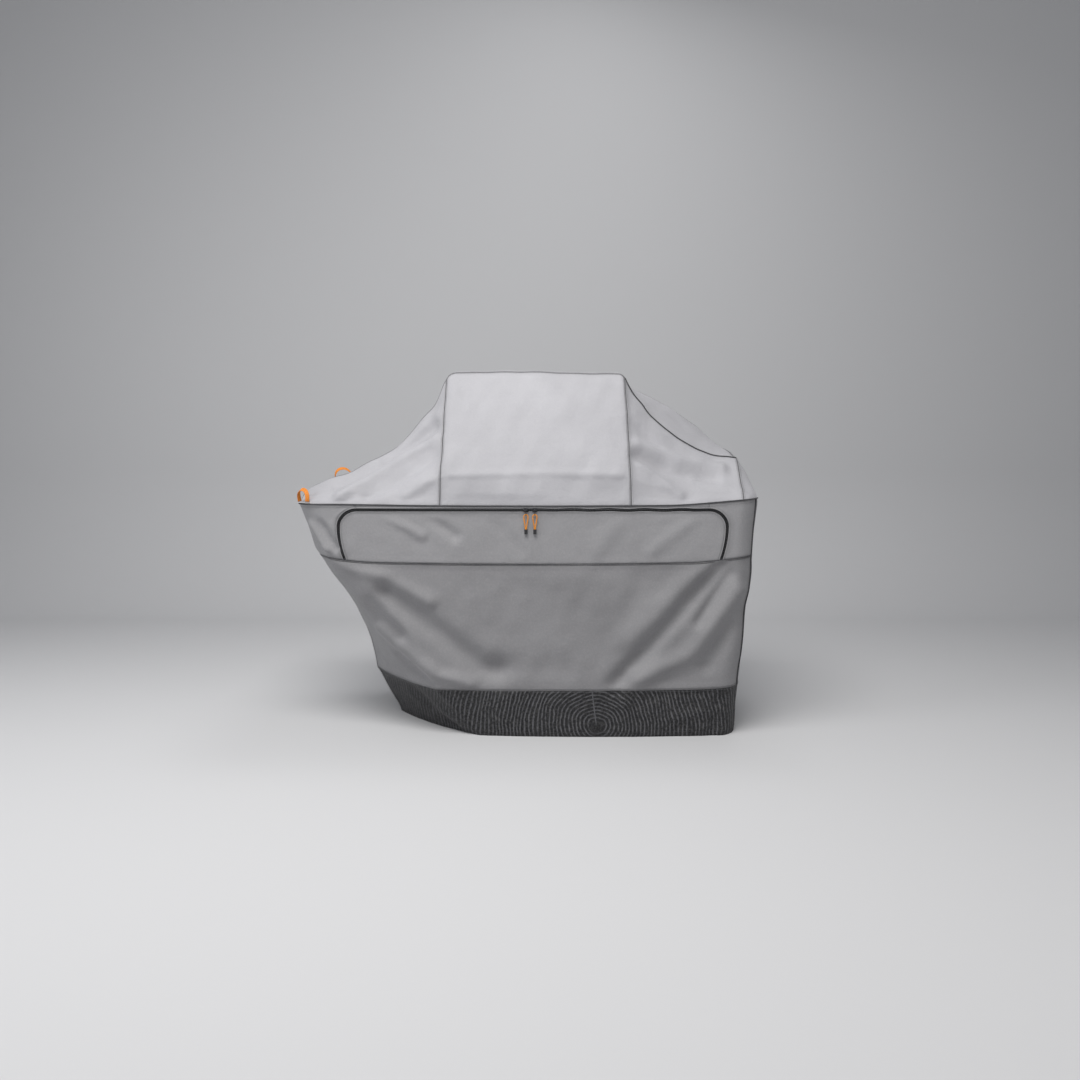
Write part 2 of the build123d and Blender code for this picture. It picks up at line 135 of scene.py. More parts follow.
# The outline at each seam that runs round the cover: hem edge, hem seam, flap seam, ledge. Each is a
# rounded rectangle with a bowed front; a corner is an ellipse's quarter with its own two radii.
SEAM_LEVELS = (0, 1, 2, 3)
LEFT_X = (HEM_LEFT + 0.085, HEM_LEFT + 0.001, LEDGE_LEFT + 0.058, LEDGE_LEFT + 0.004)
RIGHT_X = (HEM_RIGHT - 0.012, HEM_RIGHT - 0.003, LEDGE_RIGHT - 0.014, LEDGE_RIGHT - 0.004)
NEAR_Y = (FRONT_Y + 0.014, FRONT_Y + 0.004, FRONT_Y + 0.001, FRONT_Y + 0.001)
FAR_Y = (BACK_Y - 0.014, BACK_Y - 0.004, BACK_Y - 0.003, BACK_Y - 0.003)
FRONT_BOW = (0.016, 0.016, 0.003, 0.003)
NEAR_LEFT_RX, NEAR_LEFT_RY = (0.30, 0.25, 0.13, 0.13), (0.29, 0.33, 0.17, 0.15)
NEAR_LEFT_CUT = (0.75, 0.80, 0, 0)  # how far that corner is drawn from its arc towards a straight cut
NEAR_RIGHT_RX, NEAR_RIGHT_RY = (0.07, 0.08, 0.08, 0.08), (0.10, 0.10, 0.10, 0.10)
FAR_LEFT_RX, FAR_LEFT_RY = (0.14, 0.16, 0.13, 0.11), (0.12, 0.14, 0.12, 0.11)
FAR_RIGHT_RX, FAR_RIGHT_RY = (0.07, 0.08, 0.08, 0.08), (0.09, 0.09, 0.09, 0.09)
PIPED_TURN = 52  # degrees round the near right corner to its piped seam
BACK_TURN = 45  # degrees round each far corner to its seam
RUN_PARTS = {"front": (0.2, 0.95), "right": (0.08, 0.9), "back": (0.05, 0.93), "left": (0.2, 1.0)}
SIDE_DRAW = 0.034  # how far the left side hangs inward between the flap seam and the hem seam


def soft_interp(x, knots, values, reach):
    """Straight lines through the knots, with their bends softened: the mean of five points within reach."""
    x = np.asarray(x, float)
    room = np.minimum(reach, np.minimum(x - knots[0], knots[-1] - x).clip(0))
    steps = [np.interp(x + share * room, knots, values) for share in (-1, -0.5, 0, 0.5, 1)]
    return sum(steps) / len(steps)


def at_level(level, values):
    """A size of the outline at any level between the seams."""
    return soft_interp(level, SEAM_LEVELS, values, 0.16)


def outline_corners(level):
    """Centre x, centre y, radius x and radius y of the outline's four corners at a level."""
    left = at_level(level, LEFT_X) + SIDE_DRAW * np.sin(pi * np.clip(level - 1, 0, 1))
    right, far = at_level(level, RIGHT_X), at_level(level, FAR_Y)
    near = at_level(level, NEAR_Y) + at_level(level, FRONT_BOW)
    radii = [at_level(level, values) for values in (
        NEAR_LEFT_RX, NEAR_LEFT_RY, NEAR_RIGHT_RX, NEAR_RIGHT_RY, FAR_RIGHT_RX, FAR_RIGHT_RY, FAR_LEFT_RX,
        FAR_LEFT_RY)]
    return {
        "near_left": (left + radii[0], near + radii[1], radii[0], radii[1]),
        "near_right": (right - radii[2], near + radii[3], radii[2], radii[3]),
        "far_right": (right - radii[4], far - radii[5], radii[4], radii[5]),
        "far_left": (left + radii[6], far - radii[7], radii[6], radii[7]),
    }


def corner_point(corner, start, end, share, cut=0):
    """A point of an ellipse's arc, drawn to its chord by cut.

    It is centre + (rx cos a, ry sin a), with a from start to end.
    """
    first, angle, last = (np.radians(start + (end - start) * each) for each in (0, share, 1))
    cos = np.cos(angle) * (1 - cut) + cut * (np.cos(first) + (np.cos(last) - np.cos(first)) * share)
    sin = np.sin(angle) * (1 - cut) + cut * (np.sin(first) + (np.sin(last) - np.sin(first)) * share)
    return corner[0] + corner[2] * cos, corner[1] + corner[3] * sin


def plan_point(run, along, level):
    """x and y of the outline for a share along one of its four runs: an arc, a side and an arc."""
    corner = outline_corners(level)
    first, last = RUN_PARTS[run]
    one, other = {
        "front": ((corner["near_left"], 180, 270), (corner["near_right"], 270, 270 + PIPED_TURN)),
        "right": ((corner["near_right"], 270 + PIPED_TURN, 360), (corner["far_right"], 0, BACK_TURN)),
        "back": ((corner["far_right"], BACK_TURN, 90), (corner["far_left"], 90, 180 - BACK_TURN)),
        "left": ((corner["far_left"], 180 - BACK_TURN, 180), (corner["near_left"], 180, 180)),
    }[run]
    cut = at_level(level, NEAR_LEFT_CUT) if run == "front" else 0
    x0, y0 = corner_point(*one, np.clip(along / first, 0, 1), cut)
    x1, y1 = corner_point(*other, np.clip((along - last) / max(1 - last, 1e-6), 0, 1))
    middle = np.clip((along - first) / (last - first), 0, 1)
    bow = at_level(level, FRONT_BOW) * (1 - (2 * middle - 1) ** 2) if run == "front" else 0
    side_x, side_y = x0 + (x1 - x0) * middle, y0 + (y1 - y0) * middle - bow
    in_last = along > last
    return np.where(in_last, x1, side_x), np.where(in_last, y1, side_y)


def seam_z(x, y, level):
    """Height: straight lines between the seams' own heights, which sag in the middle and lift at the ends."""
    at_front = np.clip((0.08 - y) / 0.35, 0, 1)
    middle = np.clip(1 - ((x - 0.03) / 0.6) ** 2, 0, 1)
    end = np.clip((np.abs(x - 0.02) - 0.50) / 0.22, 0, 1) ** 1.5
    right_end = np.clip((x - 0.45) / 0.29, 0, 1) ** 1.5
    even = np.interp(level, SEAM_LEVELS, (0, HEM_Z, FLAP_Z, LEDGE_Z))
    sag = np.interp(level, SEAM_LEVELS, (0, 0.002, 0.008, 0.006)) * middle
    lift = np.interp(level, SEAM_LEVELS, (0, 0.010, 0.020, 0)) * end
    right_rise = np.interp(level, SEAM_LEVELS, (0, 0, 0, 0.019)) * right_end
    return even + at_front * (lift - sag + right_rise - 0.003 * (level > 2) * (level - 2))


def fold(x, z, line, width, rise):
    """A fold in the front view: rise (exp(-(d/w)^2) - 0.35 exp(-(d/2.4w)^2)), d the distance to the line."""
    distance = np.full(np.shape(x), 9.0)
    for (x0, z0), (x1, z1) in zip(line, line[1:]):
        run, climb = x1 - x0, z1 - z0
        share = np.clip(((x - x0) * run + (z - z0) * climb) / (run**2 + climb**2), 0, 1)
        distance = np.minimum(distance, np.hypot(x - x0 - share * run, z - z0 - share * climb))
    return rise * (np.exp(-((distance / width) ** 2)) - 0.35 * np.exp(-((distance / (2.4 * width)) ** 2)))


SKIRT_FOLDS = (
    ([(0.617, 0.560), (0.357, 0.260), (0.282, 0.166)], 0.028, -0.026),
    ([(0.645, 0.529), (0.548, 0.375)], 0.020, -0.014),
    ([(0.667, 0.472), (0.520, 0.269), (0.357, 0.188)], 0.032, 0.022),
    ([(0.648, 0.353), (0.573, 0.231)], 0.026, -0.013),
    ([(0.560, 0.545), (0.330, 0.330)], 0.040, 0.012),
    ([(-0.600, 0.560), (-0.479, 0.530), (-0.307, 0.440)], 0.026, 0.017),
    ([(-0.440, 0.470), (-0.147, 0.231), (-0.091, 0.216)], 0.040, -0.030),
    ([(-0.470, 0.340), (-0.282, 0.203), (-0.180, 0.172)], 0.024, 0.022),
    ([(-0.500, 0.430), (-0.400, 0.330)], 0.024, -0.014),
    ([(-0.420, 0.250), (-0.300, 0.165)], 0.018, -0.012),
    ([(-0.100, 0.235), (0.120, 0.225)], 0.040, -0.009),
    ([(-0.30, 0.07), (-0.20, 0.03)], 0.022, 0.012),
    ([(-0.38, 0.12), (-0.24, 0.015)], 0.020, -0.013),
    ([(0.62, 0.12), (0.60, 0.0)], 0.022, -0.009),
    ([(0.30, 0.14), (0.34, 0.0)], 0.030, 0.006),
    ([(0.47, 0.06), (0.62, 0.09)], 0.018, 0.007),
)
BAND_FOLDS = (
    ([(-0.440, 0.715), (-0.328, 0.648)], 0.016, 0.010),
    ([(-0.306, 0.716), (-0.225, 0.648)], 0.020, -0.012),
    ([(-0.10, 0.70), (-0.02, 0.60)], 0.022, -0.005),
    ([(0.30, 0.70), (0.22, 0.60)], 0.030, 0.004),
    ([(0.52, 0.70), (0.40, 0.60)], 0.024, 0.006),
    ([(-0.690, 0.690), (-0.630, 0.600)], 0.013, 0.014),
    ([(-0.665, 0.720), (-0.600, 0.610)], 0.013, -0.013),
)
SIDE_FOLDS = {"right": (3, 0.007), "back": (7, 0.010), "left": (3, 0.010)}


def crumple(points):
    """Slight buckling: the sum of a (sin k.p) over waves 45 to 330 mm long, a = length / 240."""
    draw = np.random.default_rng(11)
    total = np.zeros(points.shape[:-1])
    for length in np.geomspace(0.045, 0.33, 16):
        heading = draw.normal(size=3)
        heading /= np.linalg.norm(heading)
        total += length / 240 * np.sin(2 * pi / length * (points @ heading) + draw.uniform(0, 2 * pi))
    return total


def near_seam(level, reach):
    """1 on a seam level and 0 further than reach from it, in levels."""
    away = np.min([np.abs(level - seam) for seam in SEAM_LEVELS], axis=0)
    return np.clip(1 - away / reach, 0, 1) ** 2


def cover_side(run, along, level):
    """The hanging cloth: the outline at that level, moved out along its normal by folds and buckling."""
    along, level = np.broadcast_arrays(np.asarray(along, float), np.asarray(level, float))
    x, y = plan_point(run, along, level)
    z = seam_z(x, y, level)
    before, after = plan_point(run, (along - 0.004).clip(0, 1), level), plan_point(run,
        (along + 0.004).clip(0, 1), level)
    out = np.stack((after[1] - before[1], before[0] - after[0]), -1)
    out /= np.linalg.norm(out, axis=-1, keepdims=True)
    frontness = np.clip((-0.10 - y) / 0.14, 0, 1)
    free = 1 - near_seam(level, 0.14)
    hung = np.where(level < 2, sum(fold(x, z, *each) for each in SKIRT_FOLDS), 0)
    band = np.where(level >= 2, sum(fold(x, z, *each) for each in BAND_FOLDS), 0)
    move = frontness * (hung * (0.25 + 0.75 * free) + band * free * np.clip((0.708 - z) / 0.03, 0, 1))
    if run in SIDE_FOLDS:
        count, rise = SIDE_FOLDS[run]
        wave = np.sin(2 * pi * (count * along + 0.35 * np.sin(2.2 * level + 3 * along)))
        move = move + rise * wave * np.sin(pi * along) ** 0.7 * (0.15 + 0.85 * free) * np.interp(level,
            (0, 1, 3), (1, 1, 0.5))
    calm = np.where((level > 2) & (run == "front"), 0.35, 1.0)
    move = move + crumple(np.stack((x, y, z), -1)) * (0.2 + 0.8 * free) * calm
    return np.stack((x + out[..., 0] * move, y + out[..., 1] * move, z), -1)


def grid_normals(grid):
    """Steps along the columns crossed with steps up the rows, made one long."""
    normal = np.cross(np.gradient(grid, axis=1), np.gradient(grid, axis=0))
    return normal / np.linalg.norm(normal, axis=-1, keepdims=True).clip(1e-9)


def make_piece(name, points, faces, smooth, finish, chart=None, **shades):
    """A mesh object at the origin, with its chart in metres and its shades on the points."""
    mesh = bpy.data.meshes.new(name)
    mesh.from_pydata(np.asarray(points, float).tolist(), [], faces)
    mesh.polygons.foreach_set("use_smooth", np.broadcast_to(smooth, len(mesh.polygons)).tolist())
    if chart is not None:
        corners = np.empty(len(mesh.loops), np.int32)
        mesh.loops.foreach_get("vertex_index", corners)
        mesh.uv_layers.new(name="cloth").data.foreach_set("uv",
            np.asarray(chart, np.float32)[corners].ravel())
    for shade, values in shades.items():
        mesh.attributes.new(shade, "FLOAT", "POINT").data.foreach_set("value",
            np.asarray(values, np.float32).ravel())
    mesh.materials.append(finish)
    mesh.update()
    piece = bpy.data.objects.new(name, mesh)
    bpy.context.scene.collection.objects.link(piece)
    return piece


def lengths_along(grid, axis):
    """Distance from the first point, measured down each line of the grid."""
    steps = np.linalg.norm(np.diff(grid, axis=axis), axis=-1)
    start = np.zeros_like(np.take(steps, [0], axis))
    return np.concatenate((start, np.cumsum(steps, axis)), axis)


def cloth_piece(name, grid, stands_for, slot, finish, body="cover", blend=None, rests_on=(), held="draped"):
    """A sheet of cloth on a grid: its outer face, its inner face a cloth's thickness in, and its rim.

    The chart is the length across and up in metres. Its seam mask, for painted shade and puckers by the
    seams, falls from 1 on the edge to 0 at 22 mm.
    """
    rows, columns = grid.shape[:2]
    count = rows * columns
    inner = grid - grid_normals(grid) * CLOTH
    face = grid_quads(rows, columns)
    index = np.arange(count).reshape(rows, columns)
    loop = np.concatenate((index[0, :-1], index[:-1, -1], index[-1, :0:-1], index[:0:-1, 0]))
    onward = np.roll(loop, -1)
    rim = np.stack((onward, loop, loop + count, onward + count), -1)
    across, up = lengths_along(grid, 1), lengths_along(grid, 0)
    chart = np.stack((across - across.mean(1, keepdims=True), up), -1).reshape(-1, 2)
    edge = np.min([across, across[:, -1:] - across, up, up[-1:] - up], axis=0)
    shade = np.clip(1 - edge / 0.022, 0, 1).ravel()
    smooth = np.repeat([True, False], [2 * len(face), len(rim)])
    faces = np.concatenate((face, face[:, ::-1] + count, rim)).tolist()
    points = np.concatenate((grid.reshape(-1, 3), inner.reshape(-1, 3)))
    piece = make_piece(name, points, faces, smooth, finish, np.tile(chart, (2, 1)), seam=np.tile(shade, 2))
    if blend:
        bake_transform(piece)
    else:
        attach(piece, body)
    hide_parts(*stands_for)
    return piece


def add_node(tree, kind, sockets=(), **settings):
    """A node with its settings, and each socket given a value or another node's output."""
    made = tree.nodes.new(kind)
    for setting, value in settings.items():
        setattr(made, setting, value)
    for socket, value in dict(sockets).items():
        if isinstance(value, bpy.types.NodeSocket):
            tree.links.new(value, made.inputs[socket])
        else:
            made.inputs[socket].default_value = value
    return made


def maths(tree, operation, *values):
    """The result of one Math node."""
    return add_node(tree, "ShaderNodeMath", dict(enumerate(values)), operation=operation).outputs[0]


def remap(tree, value, low, high, to_low, to_high):
    """A value carried from one range to another and held within it."""
    sockets = {"Value": value, "From Min": low, "From Max": high, "To Min": to_low, "To Max": to_high}
    return add_node(tree, "ShaderNodeMapRange", sockets).outputs["Result"]


def blend_colour(tree, share, one, other, mode="MIX"):
    """One colour blended with another by share."""
    mix = add_node(tree, "ShaderNodeMix", data_type="RGBA", blend_type=mode)
    for socket, value in zip((0, 6, 7), (share, one, other)):
        if isinstance(value, bpy.types.NodeSocket):
            tree.links.new(value, mix.inputs[socket])
        else:
            mix.inputs[socket].default_value = value
    return mix.outputs[2]


def effect_group(name, inputs, outputs):
    """An empty shader group, and its input and output nodes."""
    group = bpy.data.node_groups.new(name, "ShaderNodeTree")
    for label, kind in inputs.items():
        group.interface.new_socket(label, in_out="INPUT", socket_type=kind)
    for label, kind in outputs.items():
        group.interface.new_socket(label, in_out="OUTPUT", socket_type=kind)
    return group, group.nodes.new("NodeGroupInput"), group.nodes.new("NodeGroupOutput")


def weave_group():
    """Crossing threads: sin(2 pi u / p) sin(2 pi v / p), roughened by a fine noise, as height and thread."""
    group, given, result = effect_group(
        "woven_threads",
        {"Chart": "NodeSocketVector", "Pitch": "NodeSocketFloat"},
        {"Height": "NodeSocketFloat", "Thread": "NodeSocketFloat"},
    )
    parts = add_node(group, "ShaderNodeSeparateXYZ", {"Vector": given.outputs["Chart"]})
    waves = []
    for side in ("X", "Y"):
        turns = maths(group, "DIVIDE", parts.outputs[side], given.outputs["Pitch"])
        waves.append(maths(group, "SINE", maths(group, "MULTIPLY", turns, 2 * pi)))
    crossing = maths(group, "MULTIPLY", *waves)
    slub = add_node(group, "ShaderNodeTexNoise",
        {"Vector": given.outputs["Chart"], "Scale": 420.0, "Detail": 3.0})
    height = maths(group, "MULTIPLY_ADD", crossing, 0.35, slub.outputs["Fac"])
    group.links.new(height, result.inputs["Height"])
    group.links.new(remap(group, crossing, -1.0, 1.0, 0.0, 1.0), result.inputs["Thread"])
    return group


def handling_group():
    """Marks of use: cloudy fading, fine dust and small rubbed scuffs, from noise on the cover's own axes."""
    group, given, result = effect_group(
        "handling_marks",
        {"Place": "NodeSocketVector", "Size": "NodeSocketFloat"},
        {"Fade": "NodeSocketFloat", "Dust": "NodeSocketFloat", "Scuff": "NodeSocketFloat"},
    )
    scaled = add_node(group, "ShaderNodeVectorMath", {0: given.outputs["Place"]}, operation="SCALE")
    group.links.new(given.outputs["Size"], scaled.inputs["Scale"])
    place = scaled.outputs["Vector"]
    cloud = add_node(group, "ShaderNodeTexNoise",
        {"Vector": place, "Scale": 4.5, "Detail": 5.0, "Roughness": 0.55})
    dust = add_node(group, "ShaderNodeTexNoise",
        {"Vector": place, "Scale": 160.0, "Detail": 6.0, "Roughness": 0.7})
    rub = add_node(group, "ShaderNodeTexNoise",
        {"Vector": place, "Scale": 38.0, "Detail": 8.0, "Roughness": 0.75})
    group.links.new(remap(group, cloud.outputs["Fac"], 0.32, 0.68, 0.0, 1.0), result.inputs["Fade"])
    group.links.new(remap(group, dust.outputs["Fac"], 0.45, 0.75, 0.0, 1.0), result.inputs["Dust"])
    group.links.new(remap(group, rub.outputs["Fac"], 0.62, 0.74, 0.0, 1.0), result.inputs["Scuff"])
    return group


woven_threads, handling_marks = weave_group(), handling_group()


def woven_finish(name, colour, pitch, roughness, sheen, print_colour=None):
    """Coated polyester: woven threads, cloudy fading, dust, rubbed scuffs, puckered seams and painted shade
    along them.
    """
    made = bpy.data.materials.new(name)
    made.use_nodes = True
    tree = made.node_tree
    shader = tree.nodes["Principled BSDF"]
    place = add_node(tree, "ShaderNodeTexCoord").outputs["Object"]
    chart = add_node(tree, "ShaderNodeUVMap", uv_map="cloth").outputs["UV"]
    threads = add_node(tree, "ShaderNodeGroup", node_tree=woven_threads)
    tree.links.new(chart, threads.inputs["Chart"])
    threads.inputs["Pitch"].default_value = pitch
    marks = add_node(tree, "ShaderNodeGroup", node_tree=handling_marks)
    tree.links.new(place, marks.inputs["Place"])
    marks.inputs["Size"].default_value = 1.0
    seam = add_node(tree, "ShaderNodeAttribute", attribute_name="seam").outputs["Fac"]
    tone = blend_colour(tree, marks.outputs["Fade"], (*[c * 0.95 for c in colour], 1),
        (*[c * 1.04 for c in colour], 1))
    if print_colour:
        tone = print_colour(tree, place, tone)
    tone = blend_colour(tree, maths(tree, "MULTIPLY", threads.outputs["Thread"], 0.16), tone, (0, 0, 0, 1))
    tone = blend_colour(tree, maths(tree, "MULTIPLY", marks.outputs["Dust"], 0.10), tone,
        (0.62, 0.60, 0.56, 1))
    tone = blend_colour(tree, maths(tree, "MULTIPLY", marks.outputs["Scuff"], 0.05), tone,
        (0.75, 0.75, 0.75, 1))
    # Painted shade: each panel's colour darkens towards its seams, within 22 mm of its edge.
    tone = blend_colour(tree, maths(tree, "MULTIPLY", seam, 0.22), tone, (*[c * 0.45 for c in colour], 1))
    tree.links.new(tone, shader.inputs["Base Color"])
    rough = remap(tree, marks.outputs["Fade"], 0.0, 1.0, roughness + 0.05, roughness - 0.05)
    tree.links.new(rough, shader.inputs["Roughness"])
    shader.inputs["Sheen Weight"].default_value = sheen
    shader.inputs["Specular IOR Level"].default_value = 0.35
    crinkle = add_node(tree, "ShaderNodeTexNoise",
        {"Vector": place, "Scale": 26.0, "Detail": 4.0, "Roughness": 0.5})
    big = add_node(tree, "ShaderNodeBump",
        {"Height": crinkle.outputs["Fac"], "Strength": 0.35, "Distance": 0.006})
    pucker = add_node(tree, "ShaderNodeTexNoise", {"Vector": place, "Scale": 75.0, "Detail": 2.0})
    drawn = maths(tree, "MULTIPLY", pucker.outputs["Fac"], seam)
    gathers = add_node(tree, "ShaderNodeBump",
        {"Height": drawn, "Strength": 0.6, "Distance": 0.004, "Normal": big.outputs[0]})
    fine = add_node(tree, "ShaderNodeBump",
        {"Height": threads.outputs["Height"], "Strength": 0.5, "Distance": 0.0004,
        "Normal": gathers.outputs[0]})
    tree.links.new(fine.outputs[0], shader.inputs["Normal"])
    return made


LOG_HEART = (0.225, FRONT_Y, 0.034)  # where the printed log's rings are centred
RING_GAP = 0.0125


def log_rings(tree, place, tone):
    """A sawn log's end: wavy circles a ring's gap apart round the heart, one split, and a dark core."""
    shift = add_node(tree, "ShaderNodeVectorMath", {0: place, 1: LOG_HEART}, operation="SUBTRACT").outputs[0]
    parts = add_node(tree, "ShaderNodeSeparateXYZ", {"Vector": shift})
    x, z = parts.outputs["X"], parts.outputs["Z"]
    y = maths(tree, "MULTIPLY", parts.outputs["Y"], 0.9)
    squares = [maths(tree, "POWER", maths(tree, "ABSOLUTE", value), 2.0) for value in (x, y, z)]
    radius = maths(tree, "SQRT", maths(tree, "ADD", maths(tree, "ADD", squares[0], squares[1]), squares[2]))
    wobble = add_node(tree, "ShaderNodeTexNoise", {"Vector": shift, "Scale": 7.0, "Detail": 3.0})
    grain = add_node(tree, "ShaderNodeTexNoise", {"Vector": shift, "Scale": 70.0, "Detail": 5.0})
    bent = maths(tree, "MULTIPLY_ADD", wobble.outputs["Fac"], 0.045, radius)
    turns = maths(tree, "MULTIPLY", bent, 2 * pi / RING_GAP)
    ring = maths(tree, "SINE", maths(tree, "MULTIPLY_ADD", grain.outputs["Fac"], 1.6, turns))
    line = remap(tree, ring, 0.15, 0.75, 0.0, 1.0)
    worn = remap(tree, grain.outputs["Fac"], 0.36, 0.56, 0.25, 1.0)
    lean = maths(tree, "ABSOLUTE", maths(tree, "SUBTRACT", x, maths(tree, "MULTIPLY", z, -0.13)))
    upward = remap(tree, z, 0.0, 0.02, 0.0, 1.0)
    split = maths(tree, "MULTIPLY", remap(tree, lean, 0.0008, 0.0026, 1.0, 0.0), upward)
    core = remap(tree, radius, 0.016, 0.036, 0.0, 1.0)
    shown = maths(tree, "MULTIPLY", maths(tree, "MULTIPLY", line, worn), core)
    shown = maths(tree, "MAXIMUM", shown, split)
    faded = remap(tree, radius, 0.30, 0.62, 0.62, 0.34)
    return blend_colour(tree, maths(tree, "MULTIPLY", shown, faded), tone, (0.17, 0.17, 0.185, 1))


HEM_COLOUR = (0.010, 0.010, 0.012)
hem_fabric = woven_finish("hem_fabric", HEM_COLOUR, 0.0016, 0.62, 0.05, log_rings)


RUN_LENGTHS = {"front": 1.45, "right": 0.62, "back": 1.38, "left": 0.52}  # about, for spacing points


def shares(run, size):
    """Shares along a run about size apart."""
    return np.linspace(0, 1, int(RUN_LENGTHS[run] / size))


HEM_ROWS = np.linspace(0, 1, 24)
for run in ("front", "right", "back", "left"):
    hem_grid = cover_side(run, shares(run, 0.0075)[None, :], HEM_ROWS[:, None])
    cloth_piece(f"hem_{run}_cloth", hem_grid, [f"hem_{run}"], "hem_fabric", hem_fabric, rests_on=["hem seam"])

# ---- Skirt --------------------------------------------------------------------------------------------
# Grey coated polyester hangs from the flap seam in front and from the ledge at the sides and back. The
# grill's legs stand well inside it, so it swags from the two upper corners towards the hem.
SHELL_COLOUR = (0.255, 0.252, 0.262)
shell_fabric = woven_finish("shell_fabric", SHELL_COLOUR, 0.0014, 0.60, 0.12)
SKIRT_ROWS = np.linspace(1, 2, 58)
FULL_ROWS = np.concatenate((SKIRT_ROWS, np.linspace(2, 3, 28)[1:]))

skirt_grid = cover_side("front", shares("front", 0.0075)[None, :], SKIRT_ROWS[:, None])
cloth_piece("front_skirt_cloth", skirt_grid, ["front_skirt"], "shell_fabric", shell_fabric,
    rests_on=["flap seam"])
for run, panel in (("right", "right_side_panel"), ("back", "back_panel"), ("left", "left_side_panel")):
    side_grid = cover_side(run, shares(run, 0.0075)[None, :], FULL_ROWS[:, None])
    cloth_piece(f"{panel}_cloth", side_grid, [panel], "shell_fabric", shell_fabric, rests_on=["ledge seam"])

# ---- Crown and shoulders ------------------------------------------------------------------------------
# The skirt's grey cloth, coloured lighter as painted light from above, lies over the grill's lid and
# shelves: a crown panel between two upright seams, a shoulder that slopes away on each side of it, and a
# small end panel that closes each shoulder.
CROWN_PAINTED_LIGHT_COLOUR = (0.415, 0.411, 0.436)
crown_fabric = woven_finish("crown_fabric", CROWN_PAINTED_LIGHT_COLOUR, 0.0014, 0.58, 0.14)
CROWN_LEFT, CROWN_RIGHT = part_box("crown_top_panel")[0].x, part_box("crown_top_panel")[1].x
CROWN_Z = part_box("crown_top_panel")[1].z - LEDGE_Z
CROWN_NEAR, CROWN_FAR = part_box("crown_top_panel")[0].y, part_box("crown_top_panel")[1].y

# The top's front and back edges, from the left end to the right: how far each point lies outside the
# crown's nearer seam (less than nothing on the crown itself), and how high it is above the ledge.
LEFT_OUT = (0.466, 0.440, 0.385, 0.326, 0.264, 0.167, 0.100, 0.032, 0.002, -0.020)
LEFT_RISE = (0.030, 0.050, 0.078, 0.097, 0.128, 0.184, 0.257, 0.335, 0.424, 0.438)
RIGHT_OUT = (-0.014, 0.000, 0.022, 0.085, 0.200, 0.287, 0.370)
RIGHT_FRONT_RISE = (0.438, 0.430, 0.372, 0.280, 0.190, 0.150, 0.146)
RIGHT_BACK_RISE = (0.438, 0.434, 0.424, 0.400, 0.340, 0.280, 0.195)
EDGE_X = np.concatenate((CROWN_LEFT - np.array(LEFT_OUT), CROWN_RIGHT + np.array(RIGHT_OUT)))
FRONT_EDGE_Z = LEDGE_Z + np.array(LEFT_RISE + RIGHT_FRONT_RISE)
BACK_EDGE_Z = LEDGE_Z + np.array(LEFT_RISE + RIGHT_BACK_RISE)
DEPTH_X = (EDGE_X[0], CROWN_LEFT - 0.385, CROWN_LEFT - 0.19, CROWN_LEFT, CROWN_RIGHT, CROWN_RIGHT + 0.14,
    EDGE_X[-1])
FRONT_EDGE_Y = (CROWN_NEAR - 0.055, CROWN_NEAR - 0.095, CROWN_NEAR - 0.05, CROWN_NEAR, CROWN_NEAR,
    CROWN_NEAR - 0.035, CROWN_NEAR - 0.045)
BACK_EDGE_Y = (CROWN_FAR + 0.02, CROWN_FAR + 0.03, CROWN_FAR + 0.02, CROWN_FAR, CROWN_FAR, CROWN_FAR - 0.005,
    CROWN_FAR - 0.01)
END_SEAM_SHARE = 0.962  # where the right end panel's seam meets the ledge, before the corner turns
CREASE_SHARE = 0.22  # of the way up the front, where the crown turns back over the lid's handle
CREASE_BULGE = (0.0, 0.008, 0.012, 0.030, 0.030, 0.014, 0.005)
TOP_SWELL = 0.005
ROW_KNOTS = (0, 0.16, 0.45, 0.62, 1)
FRONT_ROWS, TOP_ROWS, BACK_ROWS = 56, 30, 46
BLOCK_COLUMNS = (64, 82, 56)
UPPER_FOLDS = (
    ([(-0.290, 0.955), (-0.415, 0.882), (-0.539, 0.804), (-0.588, 0.768)], 0.018, 0.021),
    ([(-0.300, 1.000), (-0.460, 0.890), (-0.610, 0.805)], 0.018, -0.015),
    ([(-0.285, 0.900), (-0.400, 0.830), (-0.500, 0.775)], 0.020, -0.016),
    ([(-0.290, 1.040), (-0.400, 0.960), (-0.470, 0.900)], 0.016, 0.009),
    ([(-0.300, 0.820), (-0.380, 0.775)], 0.018, 0.008),
    ([(-0.600, 0.800), (-0.690, 0.762)], 0.014, 0.005),
    ([(0.350, 0.940), (0.500, 0.888), (0.640, 0.862)], 0.020, 0.015),
    ([(0.345, 0.905), (0.470, 0.852), (0.610, 0.828)], 0.018, -0.013),
    ([(0.360, 0.870), (0.486, 0.777)], 0.018, 0.011),
    ([(0.345, 1.010), (0.430, 0.930)], 0.018, -0.006),
    ([(0.540, 0.830), (0.680, 0.790)], 0.018, 0.005),
    ([(-0.235, 0.838), (0.050, 0.846), (0.305, 0.840)], 0.011, 0.005),
    ([(-0.262, 1.150), (-0.190, 1.060)], 0.020, 0.004),
    ([(0.050, 1.060), (0.240, 0.960)], 0.050, 0.003),
)
REAR_FOLDS = (
    ([(-0.290, 0.980), (-0.590, 0.775)], 0.030, 0.013),
    ([(-0.280, 0.900), (-0.480, 0.780)], 0.028, -0.010),
    ([(0.350, 1.040), (0.660, 0.800)], 0.032, 0.012),
    ([(0.345, 0.930), (0.560, 0.780)], 0.026, -0.010),
    ([(-0.200, 0.860), (0.260, 0.845)], 0.024, 0.006),
)


